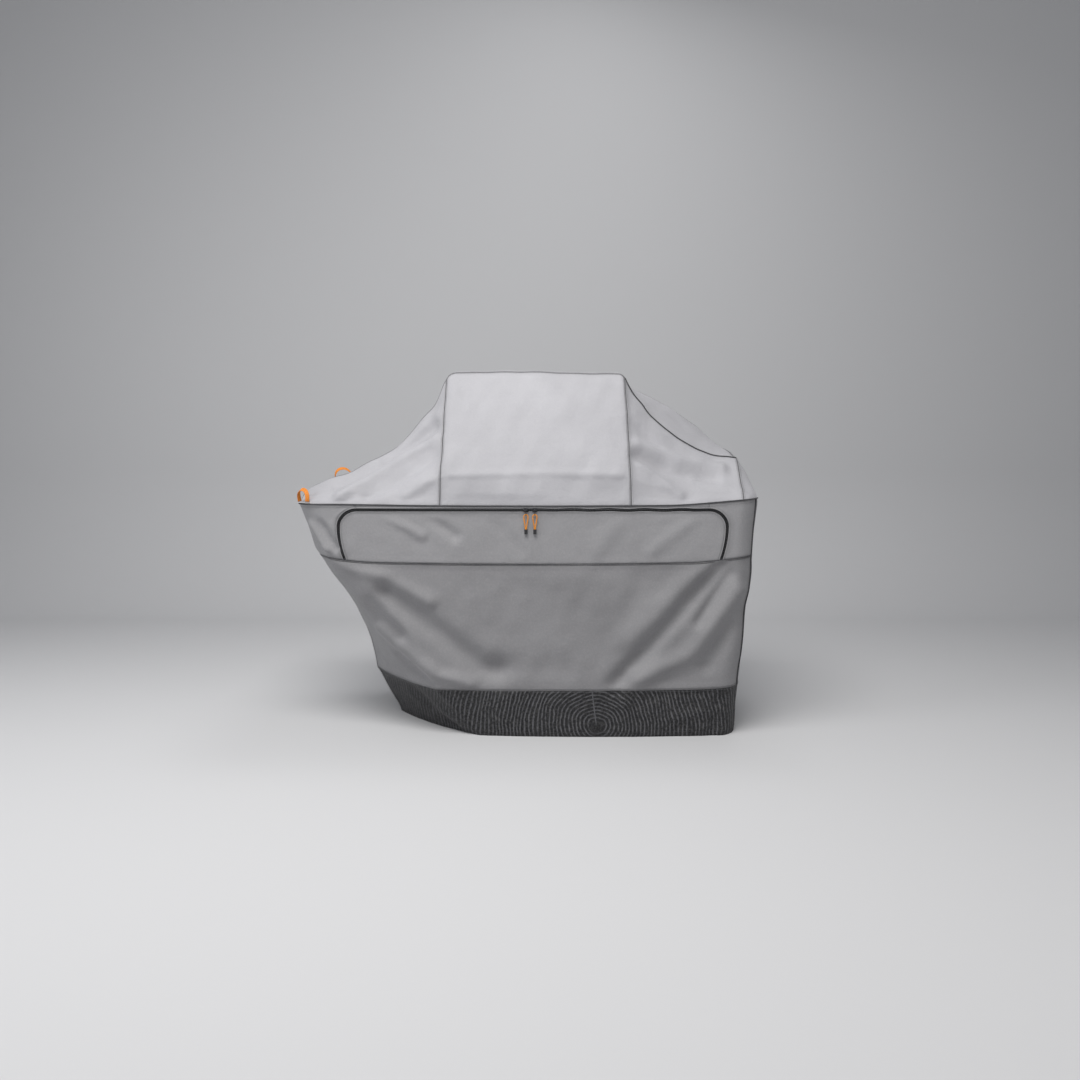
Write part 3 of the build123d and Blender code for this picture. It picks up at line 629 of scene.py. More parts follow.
def ledge_share(run, x):
    """Share along the front or the back, on its straight part of the ledge, where the outline is at x."""
    corner = outline_corners(np.array(3.0))
    ends = {"front": ("near_left", "near_right"), "back": ("far_right", "far_left")}[run]
    start, end = (corner[name][0] for name in ends)
    first, last = RUN_PARTS[run]
    return first + (last - first) * (x - start) / (end - start)


def column_spread(low, high, seams):
    """Values from low, through the crown's two seams, to high, evenly spaced within each block."""
    stops = (low, *seams, high)
    parts = [np.linspace(a, b, count + 1)[bool(i):] for i,
        (a, b, count) in enumerate(zip(stops, stops[1:], BLOCK_COLUMNS))]
    return np.concatenate(parts)


def upper_surface():
    """The cloth over the top: columns run left to right, and rows from the front ledge over to the back.

    Each column is a bent line through five points (ledge, crease, front edge, back edge, ledge), moved
    out along the surface's normal by folds and buckling that die away at the two ledge rows.
    """
    seams = (CROWN_LEFT, CROWN_RIGHT)
    near = cover_side("front", column_spread(0, END_SEAM_SHARE, [ledge_share("front", x) for x in seams]),
        3.0)
    far = cover_side("back", column_spread(1, 0, [ledge_share("back", x) for x in seams]), 3.0)
    x = column_spread(EDGE_X[0], EDGE_X[-1], seams)
    bend = 0.014 + 0.032 * np.clip((x - CROWN_RIGHT) / 0.06, 0, 1)
    edges = []
    for heights, depths in ((FRONT_EDGE_Z, FRONT_EDGE_Y), (BACK_EDGE_Z, BACK_EDGE_Y)):
        edges.append(np.stack((x, soft_interp(x, DEPTH_X, depths, 0.05),
            soft_interp(x, EDGE_X, heights, bend)), -1))
    crease = near + (edges[0] - near) * CREASE_SHARE
    crease[:, 1] -= soft_interp(x, DEPTH_X, CREASE_BULGE, 0.05)
    pieces = [np.linspace(a, b, count + 1)[bool(i):] for i, (a, b, count) in enumerate(
        ((0, ROW_KNOTS[2], FRONT_ROWS), (ROW_KNOTS[2], ROW_KNOTS[3], TOP_ROWS),
        (ROW_KNOTS[3], 1, BACK_ROWS)))]
    row = np.concatenate(pieces)
    grid = sum(soft_interp(row, ROW_KNOTS, np.eye(5)[k], 0.014)[:, None, None] * line[None]
               for k, line in enumerate((near, crease, *edges, far)))
    on_top = np.clip((row - ROW_KNOTS[2]) / (ROW_KNOTS[3] - ROW_KNOTS[2]), 0, 1)[:, None]
    grid[..., 2] += TOP_SWELL * np.sin(pi * on_top)
    gx, gz, row = grid[..., 0], grid[..., 2], row[:, None]
    front_part, back_part = np.clip((0.47 - row) / 0.10, 0, 1), np.clip((row - 0.62) / 0.10, 0, 1)
    move = front_part * sum(fold(gx, gz, *each) for each in UPPER_FOLDS)
    move = move + back_part * sum(fold(gx, gz, *each) for each in REAR_FOLDS) + crumple(grid) * 1.1
    away = np.minimum(np.abs(gx - CROWN_LEFT), np.abs(gx - CROWN_RIGHT))
    move = move * (0.35 + 0.65 * np.clip(away / 0.03, 0, 1)) * np.clip(row / 0.06, 0,
        1) * np.clip((1 - row) / 0.06, 0, 1)
    return grid + grid_normals(grid) * move[..., None]


upper = upper_surface()
upper_normals = grid_normals(upper)
ROW_STOPS = np.cumsum((0, FRONT_ROWS, TOP_ROWS, BACK_ROWS))
COLUMN_STOPS = np.cumsum((0, *BLOCK_COLUMNS))
for block, (low, high) in zip(("left_shoulder", "crown", "right_shoulder"),
        zip(COLUMN_STOPS, COLUMN_STOPS[1:])):
    for part, (first, last) in zip(("front", "top", "back"), zip(ROW_STOPS, ROW_STOPS[1:])):
        node = f"{block}_{part}" + ("_panel" if block == "crown" else "")
        panel_grid = upper[first:last + 1, low:high + 1]
        cloth_piece(f"{node}_cloth", panel_grid, [node], "crown_fabric", crown_fabric,
            rests_on=["ledge seam"])


def end_surface(ledge_part, border, bulge, rows):
    """The end panel: straight lines from the ledge up to the shoulders' last column, swelled outward."""
    share, gone = lengths_along(border, 0), lengths_along(ledge_part, 0)
    share = share / share[-1]
    base = np.stack([np.interp(share, gone / gone[-1], ledge_part[:, k]) for k in range(3)], -1)
    up = np.linspace(0, 1, rows)[:, None, None]
    grid = base + (border - base) * up
    grid[..., 0] += bulge * np.sin(pi * up[..., 0]) * np.sin(pi * share) ** 0.7
    return grid[:, 1:-1]


left_ledge = cover_side("left", np.linspace(0, 1, 120), 3.0)
right_ledge = np.concatenate((
    cover_side("front", np.linspace(END_SEAM_SHARE, 1, 20)[:-1], 3.0),
    cover_side("right", np.linspace(0, 1, 120), 3.0)))
left_end_grid = end_surface(left_ledge, upper[::-1, 0], -0.003, 9)
right_end_grid = end_surface(right_ledge, upper[:, -1], 0.020, 24)
cloth_piece("left_end_cloth", left_end_grid, ["left_end_panel"], "crown_fabric", crown_fabric,
    rests_on=["ledge seam"])
cloth_piece("right_end_cloth", right_end_grid, ["right_end_panel"], "crown_fabric", crown_fabric,
    rests_on=["ledge seam"])

# ---- Front band: the flap inside the zip and the cloth round it -------------------------------------------
# The flap is sewn to the skirt along its lower edge and folds forward about that seam. Round it lie a
# narrow header and two corner panels, which end in a turned edge beside the zip, as the flap does.
# Painted light: the band is the skirt's cloth, coloured a little lighter than the skirt below it.
BAND_PAINTED_LIGHT_COLOUR = (0.300, 0.297, 0.308)
band_painted_light = woven_finish("band_painted_light", BAND_PAINTED_LIGHT_COLOUR, 0.0014, 0.60, 0.12)
TAPE_OUT = 0.0146  # from the line where the teeth meet to the tape's outer edge
tape_low, tape_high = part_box("zip_tape_cover")
ZIP_LEFT, ZIP_RIGHT, ZIP_TOP = tape_low.x + TAPE_OUT, tape_high.x - TAPE_OUT, tape_high.z - TAPE_OUT
ZIP_CORNER = 0.052
EDGE_OUT = 0.0062  # from that line to the cloth's turned edges, which hide most of the tape
LEG_LEAN, LEG_BULGE = 0.014, 0.007  # the legs lean in at the foot and bulge out half way up
HINGE = ("cover", "flap", (0, FRONT_Y, FLAP_Z + 0.006), (0, FRONT_Y, FLAP_Z + 0.034))


def seam_at(x):
    """Height of the flap seam at x on the front."""
    return seam_z(x, np.full(np.shape(x), FRONT_Y), 2.0)


def zip_side(outward, climb, side):
    """x and z up one leg of the zip and round its corner, as climb goes from 0 to 1, moved outward."""
    radius = ZIP_CORNER + outward
    line_x, top = (ZIP_LEFT - outward, ZIP_TOP + outward) if side < 0 else (ZIP_RIGHT + outward,
        ZIP_TOP + outward)
    foot = seam_at(np.array(line_x))
    leg, arc = top - radius - foot, radius * pi / 2
    gone = climb * (leg + arc)
    turn = np.clip((gone - leg) / radius, 0, pi / 2)
    x = line_x - side * radius * (1 - np.cos(turn))
    z = foot + np.minimum(gone, leg) + radius * np.sin(turn)
    share = np.clip((z - foot) / (top - foot), 0, 1)
    return x - side * (LEG_LEAN * (1 - share) ** 2 - LEG_BULGE * np.sin(pi * share)), z


def zip_wave(x, z):
    """The top run's slight waviness, stronger to the right, none on the legs."""
    at_top = np.clip((z - ZIP_TOP + 0.03) / 0.03, 0, 1)
    return 0.0013 * np.sin(2 * pi * x / 0.115) * np.clip((x + 0.1) / 0.4, 0, 1) * np.clip((0.56 - x) / 0.05,
        0, 1) * at_top


def front_place(x, z):
    """Share and level on the front band at x and z: the outline's straight and arcs, solved for x."""
    level = np.full(np.broadcast(x, z).shape, 2.5)
    first, last = RUN_PARTS["front"]
    for _ in range(4):
        corner = outline_corners(level)
        left, right = corner["near_left"], corner["near_right"]
        straight = first + (last - first) * (x - left[0]) / (right[0] - left[0])
        left_turn = first * np.arccos(np.clip((left[0] - x) / left[2], 0, 1)) / (pi / 2)
        right_turn = last + (1 - last) * np.arcsin(np.clip((x - right[0]) / right[2], 0,
            1)) / radians(PIPED_TURN)
        share = np.where(x < left[0], left_turn, np.where(x > right[0], right_turn, straight))
        px, py = plan_point("front", share, level)
        low, high = seam_z(px, py, 2.0), seam_z(px, py, 3.0)
        level = 2 + (z - low) / (high - low)
    return share, level


def front_point(x, z, inward=0.0):
    """The point of the front band at x and z, moved inward from its outer face."""
    share, level = front_place(x, z + zip_wave(x, z))
    point = cover_side("front", share, level.clip(2.0, 3.0))
    point[..., 1] += inward
    return point


climb = np.linspace(0, 1, 26)
left_x, left_z = zip_side(-EDGE_OUT, climb, -1)
right_x, right_z = zip_side(-EDGE_OUT, climb, 1)
across = np.linspace(0, 1, 170)[None, :]
flap_x = left_x[:, None] + (right_x - left_x)[:, None] * across
flap_z = left_z[:, None] + (right_z - left_z)[:, None] * across
height_share = ((flap_z - flap_z[:1]) / (flap_z[-1:] - flap_z[:1])).clip(0, 1)
flap_z = flap_z + (1 - height_share) * (seam_at(flap_x[:1]) - flap_z[:1])
cloth_piece("front_flap_cloth", front_point(flap_x, flap_z), ["front_flap"], "shell_fabric", band_painted_light,
            blend=HINGE, rests_on=["flap seam"])

header_x = (zip_side(EDGE_OUT, 1.0, -1)[0], zip_side(EDGE_OUT, 1.0, 1)[0])
for side, node, rim_share, rim_x in ((-1, "front_left_corner_panel", 0.0, header_x[0]),
        (1, "front_right_corner_panel", 1.0, header_x[1])):
    edge_x, edge_z = zip_side(EDGE_OUT, climb, side)
    edge_share, edge_level = front_place(edge_x, edge_z)
    edge_level[0] = 2.0
    share = np.concatenate((edge_share, np.linspace(edge_share[-1], ledge_share("front", rim_x), 4)[1:]))
    level = np.concatenate((edge_level, np.linspace(edge_level[-1], 3.0, 4)[1:]))
    spread = np.linspace(0, 1, 34)[None, :]
    start, end = (rim_share, share[:, None]) if side < 0 else (share[:, None], rim_share)
    corner_grid = cover_side("front", start + (end - start) * spread, level[:, None])
    cloth_piece(f"{node}_cloth", corner_grid, [node], "shell_fabric", band_painted_light, rests_on=["ledge seam"])

top_x = np.linspace(*header_x, 160)
top_share, top_level = front_place(top_x, ZIP_TOP + EDGE_OUT + zip_wave(top_x, np.full(160, ZIP_TOP)))
header_level = top_level + (3.0 - top_level) * np.linspace(0, 1, 6)[:, None]
cloth_piece("zip_header_cloth", cover_side("front", top_share[None, :], header_level), ["zip_header"],
    "shell_fabric", band_painted_light,
            rests_on=["ledge seam"])

# ---- Seams --------------------------------------------------------------------------------------------
# Every seam is felled: the two edges are folded into each other and lie flat as a low welt, with a row of
# grey bonded thread sewn down one or both sides of it. The welt is coloured near black as painted shade.
WELT_HALF, WELT_HIGH = 0.0017, 0.0010
STITCH_PITCH, STITCH_LONG, STITCH_THICK = 0.0046, 0.0032, 0.0005
half_turn = np.linspace(0, pi, 9)
WELT = np.concatenate((
    np.stack((WELT_HALF * np.cos(half_turn), WELT_HIGH * np.sin(half_turn)), -1),
    [(-WELT_HALF, -0.0008), (WELT_HALF, -0.0008)],
))
full_turn = np.linspace(0, 2 * pi, 14, endpoint=False)
ROUND = np.stack((np.cos(full_turn), np.sin(full_turn)), -1)


def unit(vectors):
    """Each vector made one long."""
    return vectors / np.linalg.norm(vectors, axis=-1, keepdims=True).clip(1e-12)


def even_steps(step, path, *others):
    """Points along a path about one step apart, and the others carried with them."""
    gone = np.concatenate(([0], np.cumsum(np.linalg.norm(np.diff(path, axis=0), axis=-1))))
    wanted = np.linspace(0, gone[-1], max(int(gone[-1] / step), 3))
    return [np.stack([np.interp(wanted, gone, each[:, k]) for k in range(3)], -1) for each in (path, *others)]


def along_frame(path, normal, closed=False):
    """Unit tangent t, side s = t x n, and n made square to both, at each point of a path."""
    step = np.roll(path, -1, 0) - np.roll(path, 1, 0) if closed else np.gradient(path, axis=0)
    tangent = unit(step)
    side = unit(np.cross(tangent, normal))
    return tangent, side, np.cross(side, tangent)


def sweep(name, path, normal, profile, finish, closed=False):
    """A profile carried along a path: each point is path + a side + b normal; open ends are capped."""
    _, side, out = along_frame(path, normal, closed)
    count, ring = len(path), len(profile)
    points = path[:, None] + side[:, None] * profile[None, :, :1] + out[:, None] * profile[None, :, 1:]
    index = np.arange(count * ring).reshape(count, ring)
    onward = np.roll(index, -1, 0) if closed else index[1:]
    start = index if closed else index[:-1]
    quads = np.stack((start, onward, np.roll(onward, -1, 1), np.roll(start, -1, 1)), -1).reshape(-1, 4)
    faces = quads.tolist() + ([] if closed else [index[0].tolist(), index[-1, ::-1].tolist()])
    smooth = [True] * len(quads) + ([] if closed else [False, False])
    gone = np.concatenate(([0], np.cumsum(np.linalg.norm(np.diff(path, axis=0), axis=-1))))
    round_it = np.concatenate(([0], np.cumsum(np.linalg.norm(np.diff(profile, axis=0), axis=-1))))
    chart = np.stack(np.broadcast_arrays(round_it[None, :], gone[:, None]), -1).reshape(-1, 2)
    return make_piece(name, points.reshape(-1, 3), faces, smooth, finish, chart)


def beads(name, centre, along, side, out, length, width, thick, finish):
    """Many small rounded bars: three six-sided rings and two poles, stretched along each one's own axis."""
    turn = np.arange(6) * pi / 3
    rings = [(np.full(6, a), r * np.cos(turn), r * np.sin(turn)) for a,
        r in ((-0.36, 0.8), (0, 1.0), (0.36, 0.8))]
    shape = np.concatenate([np.stack(ring, -1) for ring in rings] + [[(-0.5, 0, 0)], [(0.5, 0, 0)]])
    shape = shape * (length, width / 2, thick / 2)
    axes = np.stack((along, side, out), 1)
    points = centre[:, None] + np.einsum("vk,nkc->nvc", shape, axes)
    onward = (np.arange(6) + 1) % 6
    first = np.arange(6)
    quads = np.concatenate([np.stack((first + r, first + r + 6, onward + r + 6, onward + r), -1) for r in (0,
        6)])
    tips = np.concatenate((np.stack((onward, np.full(6, 18), first), -1),
        np.stack((first + 12, np.full(6, 19), onward + 12), -1)))
    if np.linalg.det(axes[0]) > 0:
        quads, tips = quads[:, ::-1], tips[:, ::-1]
    base = np.arange(len(centre))[:, None, None] * len(shape)
    faces = (quads[None] + base).reshape(-1, 4).tolist() + (tips[None] + base).reshape(-1, 3).tolist()
    return make_piece(name, points.reshape(-1, 3), faces, True, finish)


def thread_finish(name, colour):
    """Bonded thread: two twisted plies, as slanting bands of painted highlight and shade, with a slight shine.
    """
    made = bpy.data.materials.new(name)
    made.use_nodes = True
    tree = made.node_tree
    shader = tree.nodes["Principled BSDF"]
    place = add_node(tree, "ShaderNodeTexCoord").outputs["Object"]
    twist = add_node(tree, "ShaderNodeTexWave", {"Vector": place, "Scale": 420.0, "Distortion": 1.5},
        bands_direction="DIAGONAL")
    tone = blend_colour(tree, twist.outputs["Fac"], (*[c * 0.7 for c in colour], 1), (*colour, 1))
    tree.links.new(tone, shader.inputs["Base Color"])
    shader.inputs["Roughness"].default_value = 0.5
    bump = add_node(tree, "ShaderNodeBump",
        {"Height": twist.outputs["Fac"], "Strength": 0.5, "Distance": 0.0002})
    tree.links.new(bump.outputs[0], shader.inputs["Normal"])
    return made


# Painted shade: the welts are coloured near black for the shade along each seam, not in the panels' grey.
painted_seam_shade = woven_finish("painted_seam_shade", (0.105, 0.104, 0.110), 0.0011, 0.7, 0.1)
seam_thread = thread_finish("seam_thread", (0.20, 0.20, 0.21))
hem_thread = thread_finish("hem_thread", (0.07, 0.07, 0.075))


def stitch_row(name, path, normal, offset, finish, body="cover", blend=None):
    """Threads end to end beside a seam, offset sideways along the cloth and just proud of it."""
    path, normal = even_steps(STITCH_PITCH, path, normal)
    tangent, side, out = along_frame(path, normal)
    centre = path + side * offset + out * 0.0002
    piece = beads(name, centre, tangent, side, out, STITCH_LONG, STITCH_THICK * 2, STITCH_THICK * 1.6, finish)
    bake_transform(piece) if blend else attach(piece, body)
    return piece


def level_line(level, runs=("front", "right", "back", "left")):
    """Points and normals round the cover at one level, through the given runs."""
    points, normals = [], []
    for run in runs:
        grid = cover_side(run, shares(run, 0.006)[None, :],
            (level + np.array((-0.012, 0, 0.012))).clip(0, 3)[:, None])
        points.append(cover_side(run, shares(run, 0.006), level)[:-1])
        normals.append(grid_normals(grid)[1, :-1])
    return np.concatenate(points), np.concatenate(normals)


def upright_line(run, share, levels):
    """Points and normals up the cover at one share of a run."""
    near = np.clip(share + np.array((-0.004, 0, 0.004)), 0, 1)
    grid = cover_side(run, near[None, :], levels[:, None])
    return cover_side(run, share, levels), grid_normals(grid)[:, 1]


def felled_seam(name, path, normal, cloth, thread, slot, offsets=(-0.0052, 0.0052), closed=False):
    """A welt on the line of a seam, and its rows of stitches."""
    welt = sweep(f"{name}_welt", path, normal, WELT, cloth, closed)
    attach(welt, "cover")
    for number, offset in enumerate(offsets):
        stitch_row(f"{name}_stitches_{number + 1}", path, normal, offset, thread)


felled_seam("hem_seam", *level_line(1.0), painted_seam_shade, seam_thread, "shell_fabric", closed=True)
hem_turn, hem_turn_out = level_line(0.1)
stitch_row("hem_turn_stitches", hem_turn, hem_turn_out, 0.0, hem_thread)
felled_seam("flap_seam", *level_line(1.994, ("front",)), painted_seam_shade, seam_thread, "shell_fabric",
    offsets=(-0.0055,))
UPRIGHT_LEVELS = np.concatenate((np.linspace(0, 1, 14)[:-1], np.linspace(1, 2, 40)[:-1],
    np.linspace(2, 3, 20)))
for name, run, share in (("rear_right_seam", "right", 1.0), ("rear_left_seam", "back", 1.0),
        ("front_left_seam", "left", 1.0)):
    felled_seam(name, *upright_line(run, share, UPRIGHT_LEVELS), painted_seam_shade, seam_thread, "shell_fabric",
        offsets=(0.0052,))
for name, column in (("crown_left_seam", COLUMN_STOPS[1]), ("crown_right_seam", COLUMN_STOPS[2]),
                     ("left_end_seam", 0), ("right_end_seam", -1)):
    felled_seam(name, upper[:, column], upper_normals[:, column], painted_seam_shade, seam_thread, "crown_fabric")
front_row, back_row = ROW_STOPS[1], ROW_STOPS[2]
left_part = slice(0, COLUMN_STOPS[2] + 1)
felled_seam("front_edge_seam", upper[front_row, left_part], upper_normals[front_row, left_part], painted_seam_shade,
    seam_thread, "crown_fabric")
felled_seam("back_edge_seam", upper[back_row], upper_normals[back_row], painted_seam_shade, seam_thread,
    "crown_fabric")

# ---- Piping -------------------------------------------------------------------------------------------
# Dark cloth wrapped round a cord is sewn into the ledge seam, into the scooped front edge of the right
# slope, and into the seam down the right front corner. It stiffens those edges and sheds the rain.
PIPING_COLOUR = (0.060, 0.060, 0.066)
piping_fabric = woven_finish("piping", PIPING_COLOUR, 0.0011, 0.55, 0.05)
PIPING_THICK = 0.0021
# Radius of the thin dark line of painted shadow above the flap seam.
FLAP_SHADOW_THICK = 0.0013


def piped_edge(name, path, normal, stands_for, closed=False):
    """A round cord along a seam, its middle 0.75 of its radius outside the path."""
    path, normal = (path, normal) if closed else even_steps(0.006, path, normal)
    _, _, out = along_frame(path, normal, closed)
    piece = sweep(name, path + out * PIPING_THICK * 0.75, normal, ROUND * PIPING_THICK, piping_fabric, closed)
    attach(piece, "cover")
    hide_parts(stands_for)
    return piece


# Painted shadow: a thin dark cord of the piping's cloth just above the flap seam stands for the shadow in the
# gap along the flap's lower edge.
flap_shadow_path, flap_shadow_out = even_steps(0.006, *level_line(2.008, ("front",)))
flap_shadow_line = sweep("flap_seam_painted_shadow", flap_shadow_path, flap_shadow_out, ROUND * FLAP_SHADOW_THICK, piping_fabric)
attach(flap_shadow_line, "cover")
piped_edge("ledge_piping_cord", *level_line(3.0), "ledge_piping", closed=True)
slope = slice(COLUMN_STOPS[2], None)
piped_edge("right_slope_piping_cord", upper[front_row, slope], upper_normals[front_row, slope],
    "right_slope_piping")
stitch_row("slope_stitches", upper[front_row, slope], upper_normals[front_row, slope], -0.0056, seam_thread)
piped_edge("right_corner_piping_cord", *upright_line("front", 1.0, UPRIGHT_LEVELS[13:]),
    "right_corner_piping")
ledge_line, ledge_out = level_line(2.94)
stitch_row("ledge_stitches", ledge_line, ledge_out, 0.0, seam_thread)

# ---- Zip ----------------------------------------------------------------------------------------------
# A black coil zip runs up the left leg, along under the ledge and down the right leg. Each half is a
# woven tape with a coil of teeth sewn along its edge, and a clamped stop closes each foot.
def zip_tape_finish(name, colour, ribs):
    """Woven nylon tape: ribs along its length and a herringbone of fine threads, with painted highlight on the
    ribs and painted shade between them.
    """
    made = bpy.data.materials.new(name)
    made.use_nodes = True
    tree = made.node_tree
    shader = tree.nodes["Principled BSDF"]
    chart = add_node(tree, "ShaderNodeUVMap", uv_map="cloth").outputs["UV"]
    parts = add_node(tree, "ShaderNodeSeparateXYZ", {"Vector": chart})
    rib = maths(tree, "SINE", maths(tree, "MULTIPLY", parts.outputs["Y"], 2 * pi / ribs))
    slant = maths(tree, "ADD", parts.outputs["X"], maths(tree, "MULTIPLY", rib, ribs * 0.3))
    thread = maths(tree, "SINE", maths(tree, "MULTIPLY", slant, 2 * pi / (ribs * 0.6)))
    height = maths(tree, "MULTIPLY_ADD", thread, 0.5, rib)
    place = add_node(tree, "ShaderNodeTexCoord").outputs["Object"]
    fluff = add_node(tree, "ShaderNodeTexNoise", {"Vector": place, "Scale": 300.0, "Detail": 4.0})
    # Painted highlight and shade: the colour follows the weave's height, lighter on the ribs and darker in the
    # grooves.
    light = remap(tree, height, -1.5, 1.5, 0.0, 1.0)
    tone = blend_colour(tree, light, (*[c * 0.55 for c in colour], 1),
        (*[min(c * 1.25, 1) for c in colour], 1))
    tone = blend_colour(tree, maths(tree, "MULTIPLY", fluff.outputs["Fac"], 0.18), tone,
        (*[c * 0.5 for c in colour], 1))
    tree.links.new(tone, shader.inputs["Base Color"])
    tree.links.new(remap(tree, fluff.outputs["Fac"], 0.3, 0.7, 0.55, 0.8), shader.inputs["Roughness"])
    bump = add_node(tree, "ShaderNodeBump", {"Height": height, "Strength": 0.6, "Distance": 0.0004})
    tree.links.new(bump.outputs[0], shader.inputs["Normal"])
    return made


def moulded_finish(name, colour, roughness, metallic, scratch):
    """Cast or moulded: a fine grain, rubbed lighter marks and uneven shine."""
    made = bpy.data.materials.new(name)
    made.use_nodes = True
    tree = made.node_tree
    shader = tree.nodes["Principled BSDF"]
    place = add_node(tree, "ShaderNodeTexCoord").outputs["Object"]
    grain = add_node(tree, "ShaderNodeTexNoise", {"Vector": place, "Scale": 900.0, "Detail": 3.0})
    rub = add_node(tree, "ShaderNodeTexNoise",
        {"Vector": place, "Scale": 210.0, "Detail": 6.0, "Roughness": 0.7})
    worn = remap(tree, rub.outputs["Fac"], 0.52, 0.66, 0.0, 1.0)
    tone = blend_colour(tree, maths(tree, "MULTIPLY", worn, scratch), (*colour, 1),
        (*[min(c * 2.5 + 0.05, 1) for c in colour], 1))
    tree.links.new(tone, shader.inputs["Base Color"])
    tree.links.new(remap(tree, rub.outputs["Fac"], 0.3, 0.7, roughness - 0.1, roughness + 0.12),
        shader.inputs["Roughness"])
    shader.inputs["Metallic"].default_value = metallic
    bump = add_node(tree, "ShaderNodeBump",
        {"Height": grain.outputs["Fac"], "Strength": 0.25, "Distance": 0.0002})
    tree.links.new(bump.outputs[0], shader.inputs["Normal"])
    return made


zip_tape = zip_tape_finish("zip_tape", (0.016, 0.016, 0.018), 0.0018)
zip_teeth = moulded_finish("zip_teeth", (0.022, 0.022, 0.025), 0.38, 0.0, 0.10)
zip_metal = moulded_finish("zip_metal", (0.060, 0.060, 0.065), 0.36, 0.9, 0.30)
TAPE_INWARD, TAPE_UNDER = 0.0017, 0.0200
TOOTH_PITCH, TOOTH_LONG, TOOTH_THICK = 0.0024, 0.0034, 0.0017
TURNED_EDGE = 0.0013  # radius of the cloth's turned edge beside the zip


def zip_line(outward, inward, climb_count=40, top_count=420):
    """Points of the zip moved outward: up the left leg, along the top and down the right leg."""
    up = np.linspace(0, 1, climb_count)
    (lx, lz), (rx, rz) = zip_side(outward, up, -1), zip_side(outward, up[::-1], 1)
    top = np.linspace(lx[-1], rx[0], top_count)[1:-1]
    x = np.concatenate((lx, top, rx))
    z = np.concatenate((lz, np.full(len(top), lz[-1]), rz))
    return front_point(x, z, inward)


def on_band(piece, which):
    """Ride on the cover; a piece on the flap's side is only fixed in place, on no body."""
    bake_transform(piece) if which == "flap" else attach(piece, "cover")


FORWARD = np.array((0.0, -1.0, 0.0))
for which, way in (("cover", 1), ("flap", -1)):
    offsets = np.sort(way * np.array((0.0007, 0.004, 0.009, 0.0145, TAPE_UNDER)))
    tape_grid = np.stack([zip_line(offset, TAPE_INWARD) for offset in offsets])
    place = {"blend": HINGE} if which == "flap" else {"body": "cover"}
    cloth_piece(f"zip_tape_{which}_half", tape_grid, [f"zip_tape_{which}"], "zip_tape", zip_tape,
        rests_on=["zip seam"], **place)
    line, = even_steps(TOOTH_PITCH, zip_line(way * 0.0017, TAPE_INWARD - 0.0009)[2:-2])
    line = line[1:-1] if way > 0 else (line[1:-1] + line[2:]) / 2
    tangent, side, out = along_frame(line, np.broadcast_to(FORWARD, line.shape))
    coil = beads(f"zip_coil_{which}", line, side, tangent, out, TOOTH_LONG, TOOTH_THICK, TOOTH_THICK,
        zip_teeth)
    on_band(coil, which)
    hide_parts(f"zip_teeth_{which}")
    rim = zip_line(way * EDGE_OUT, 0.0)
    edge = sweep(f"turned_edge_{which}", rim, np.broadcast_to(FORWARD, rim.shape), ROUND * TURNED_EDGE,
        band_painted_light)
    on_band(edge, which)
    row = zip_line(way * (EDGE_OUT + 0.005), 0.0)
    stitch_row(f"zip_stitches_{which}", row, np.broadcast_to(FORWARD, row.shape), 0.0, seam_thread,
               blend=HINGE if which == "flap" else None)

STOP_HALF, STOP_OUT, STOP_LONG = 0.0042, 0.0015, 0.006
for name, side in (("left", -1), ("right", 1)):
    x, z = zip_side(0.0, np.linspace(0, 0.06, 12), side)
    keep = z - z[0] < STOP_LONG
    route = front_point(x[keep], z[keep], TAPE_INWARD - 0.001)
    box_ring = np.sign(ROUND) * np.abs(ROUND) ** 0.5 * (STOP_HALF, STOP_OUT)
    stop = sweep(f"zip_stop_{name}_clamp", route, np.broadcast_to(FORWARD, route.shape), box_ring, zip_metal)
    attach(stop, "cover")
    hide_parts(f"zip_stop_{name}")

# ---- Sliders and pulls --------------------------------------------------------------------------------
# Two cast sliders meet at the middle. From each one's bridge hangs a wire ring, and from the ring a loop of
# orange cord whose two ends are moulded into a black tip.
def cord_finish(name, colour, braid):
    """Braided cord: two slanting sets of strands that cross, with painted shade in the gaps between them."""
    made = bpy.data.materials.new(name)
    made.use_nodes = True
    tree = made.node_tree
    shader = tree.nodes["Principled BSDF"]
    place = add_node(tree, "ShaderNodeTexCoord").outputs["Object"]
    parts = add_node(tree, "ShaderNodeSeparateXYZ", {"Vector": place})
    sets = []
    for sign in (1, -1):
        slant = maths(tree, "MULTIPLY_ADD", maths(tree, "ADD", parts.outputs["X"], parts.outputs["Y"]),
            sign * 1.0, parts.outputs["Z"])
        sets.append(maths(tree, "SINE", maths(tree, "MULTIPLY", slant, 2 * pi / braid)))
    height = maths(tree, "MAXIMUM", *sets)
    # Painted shade: the colour follows the braid's height, darker in the gaps between the strands.
    light = remap(tree, height, -0.4, 1.0, 0.0, 1.0)
    fluff = add_node(tree, "ShaderNodeTexNoise", {"Vector": place, "Scale": 500.0, "Detail": 4.0})
    tone = blend_colour(tree, light, (*[c * 0.62 for c in colour], 1), (*colour, 1))
    tone = blend_colour(tree, maths(tree, "MULTIPLY", fluff.outputs["Fac"], 0.2), tone,
        (*[c * 0.7 for c in colour], 1))
    tree.links.new(tone, shader.inputs["Base Color"])
    shader.inputs["Roughness"].default_value = 0.62
    bump = add_node(tree, "ShaderNodeBump", {"Height": height, "Strength": 0.7, "Distance": 0.0004})
    tree.links.new(bump.outputs[0], shader.inputs["Normal"])
    return made


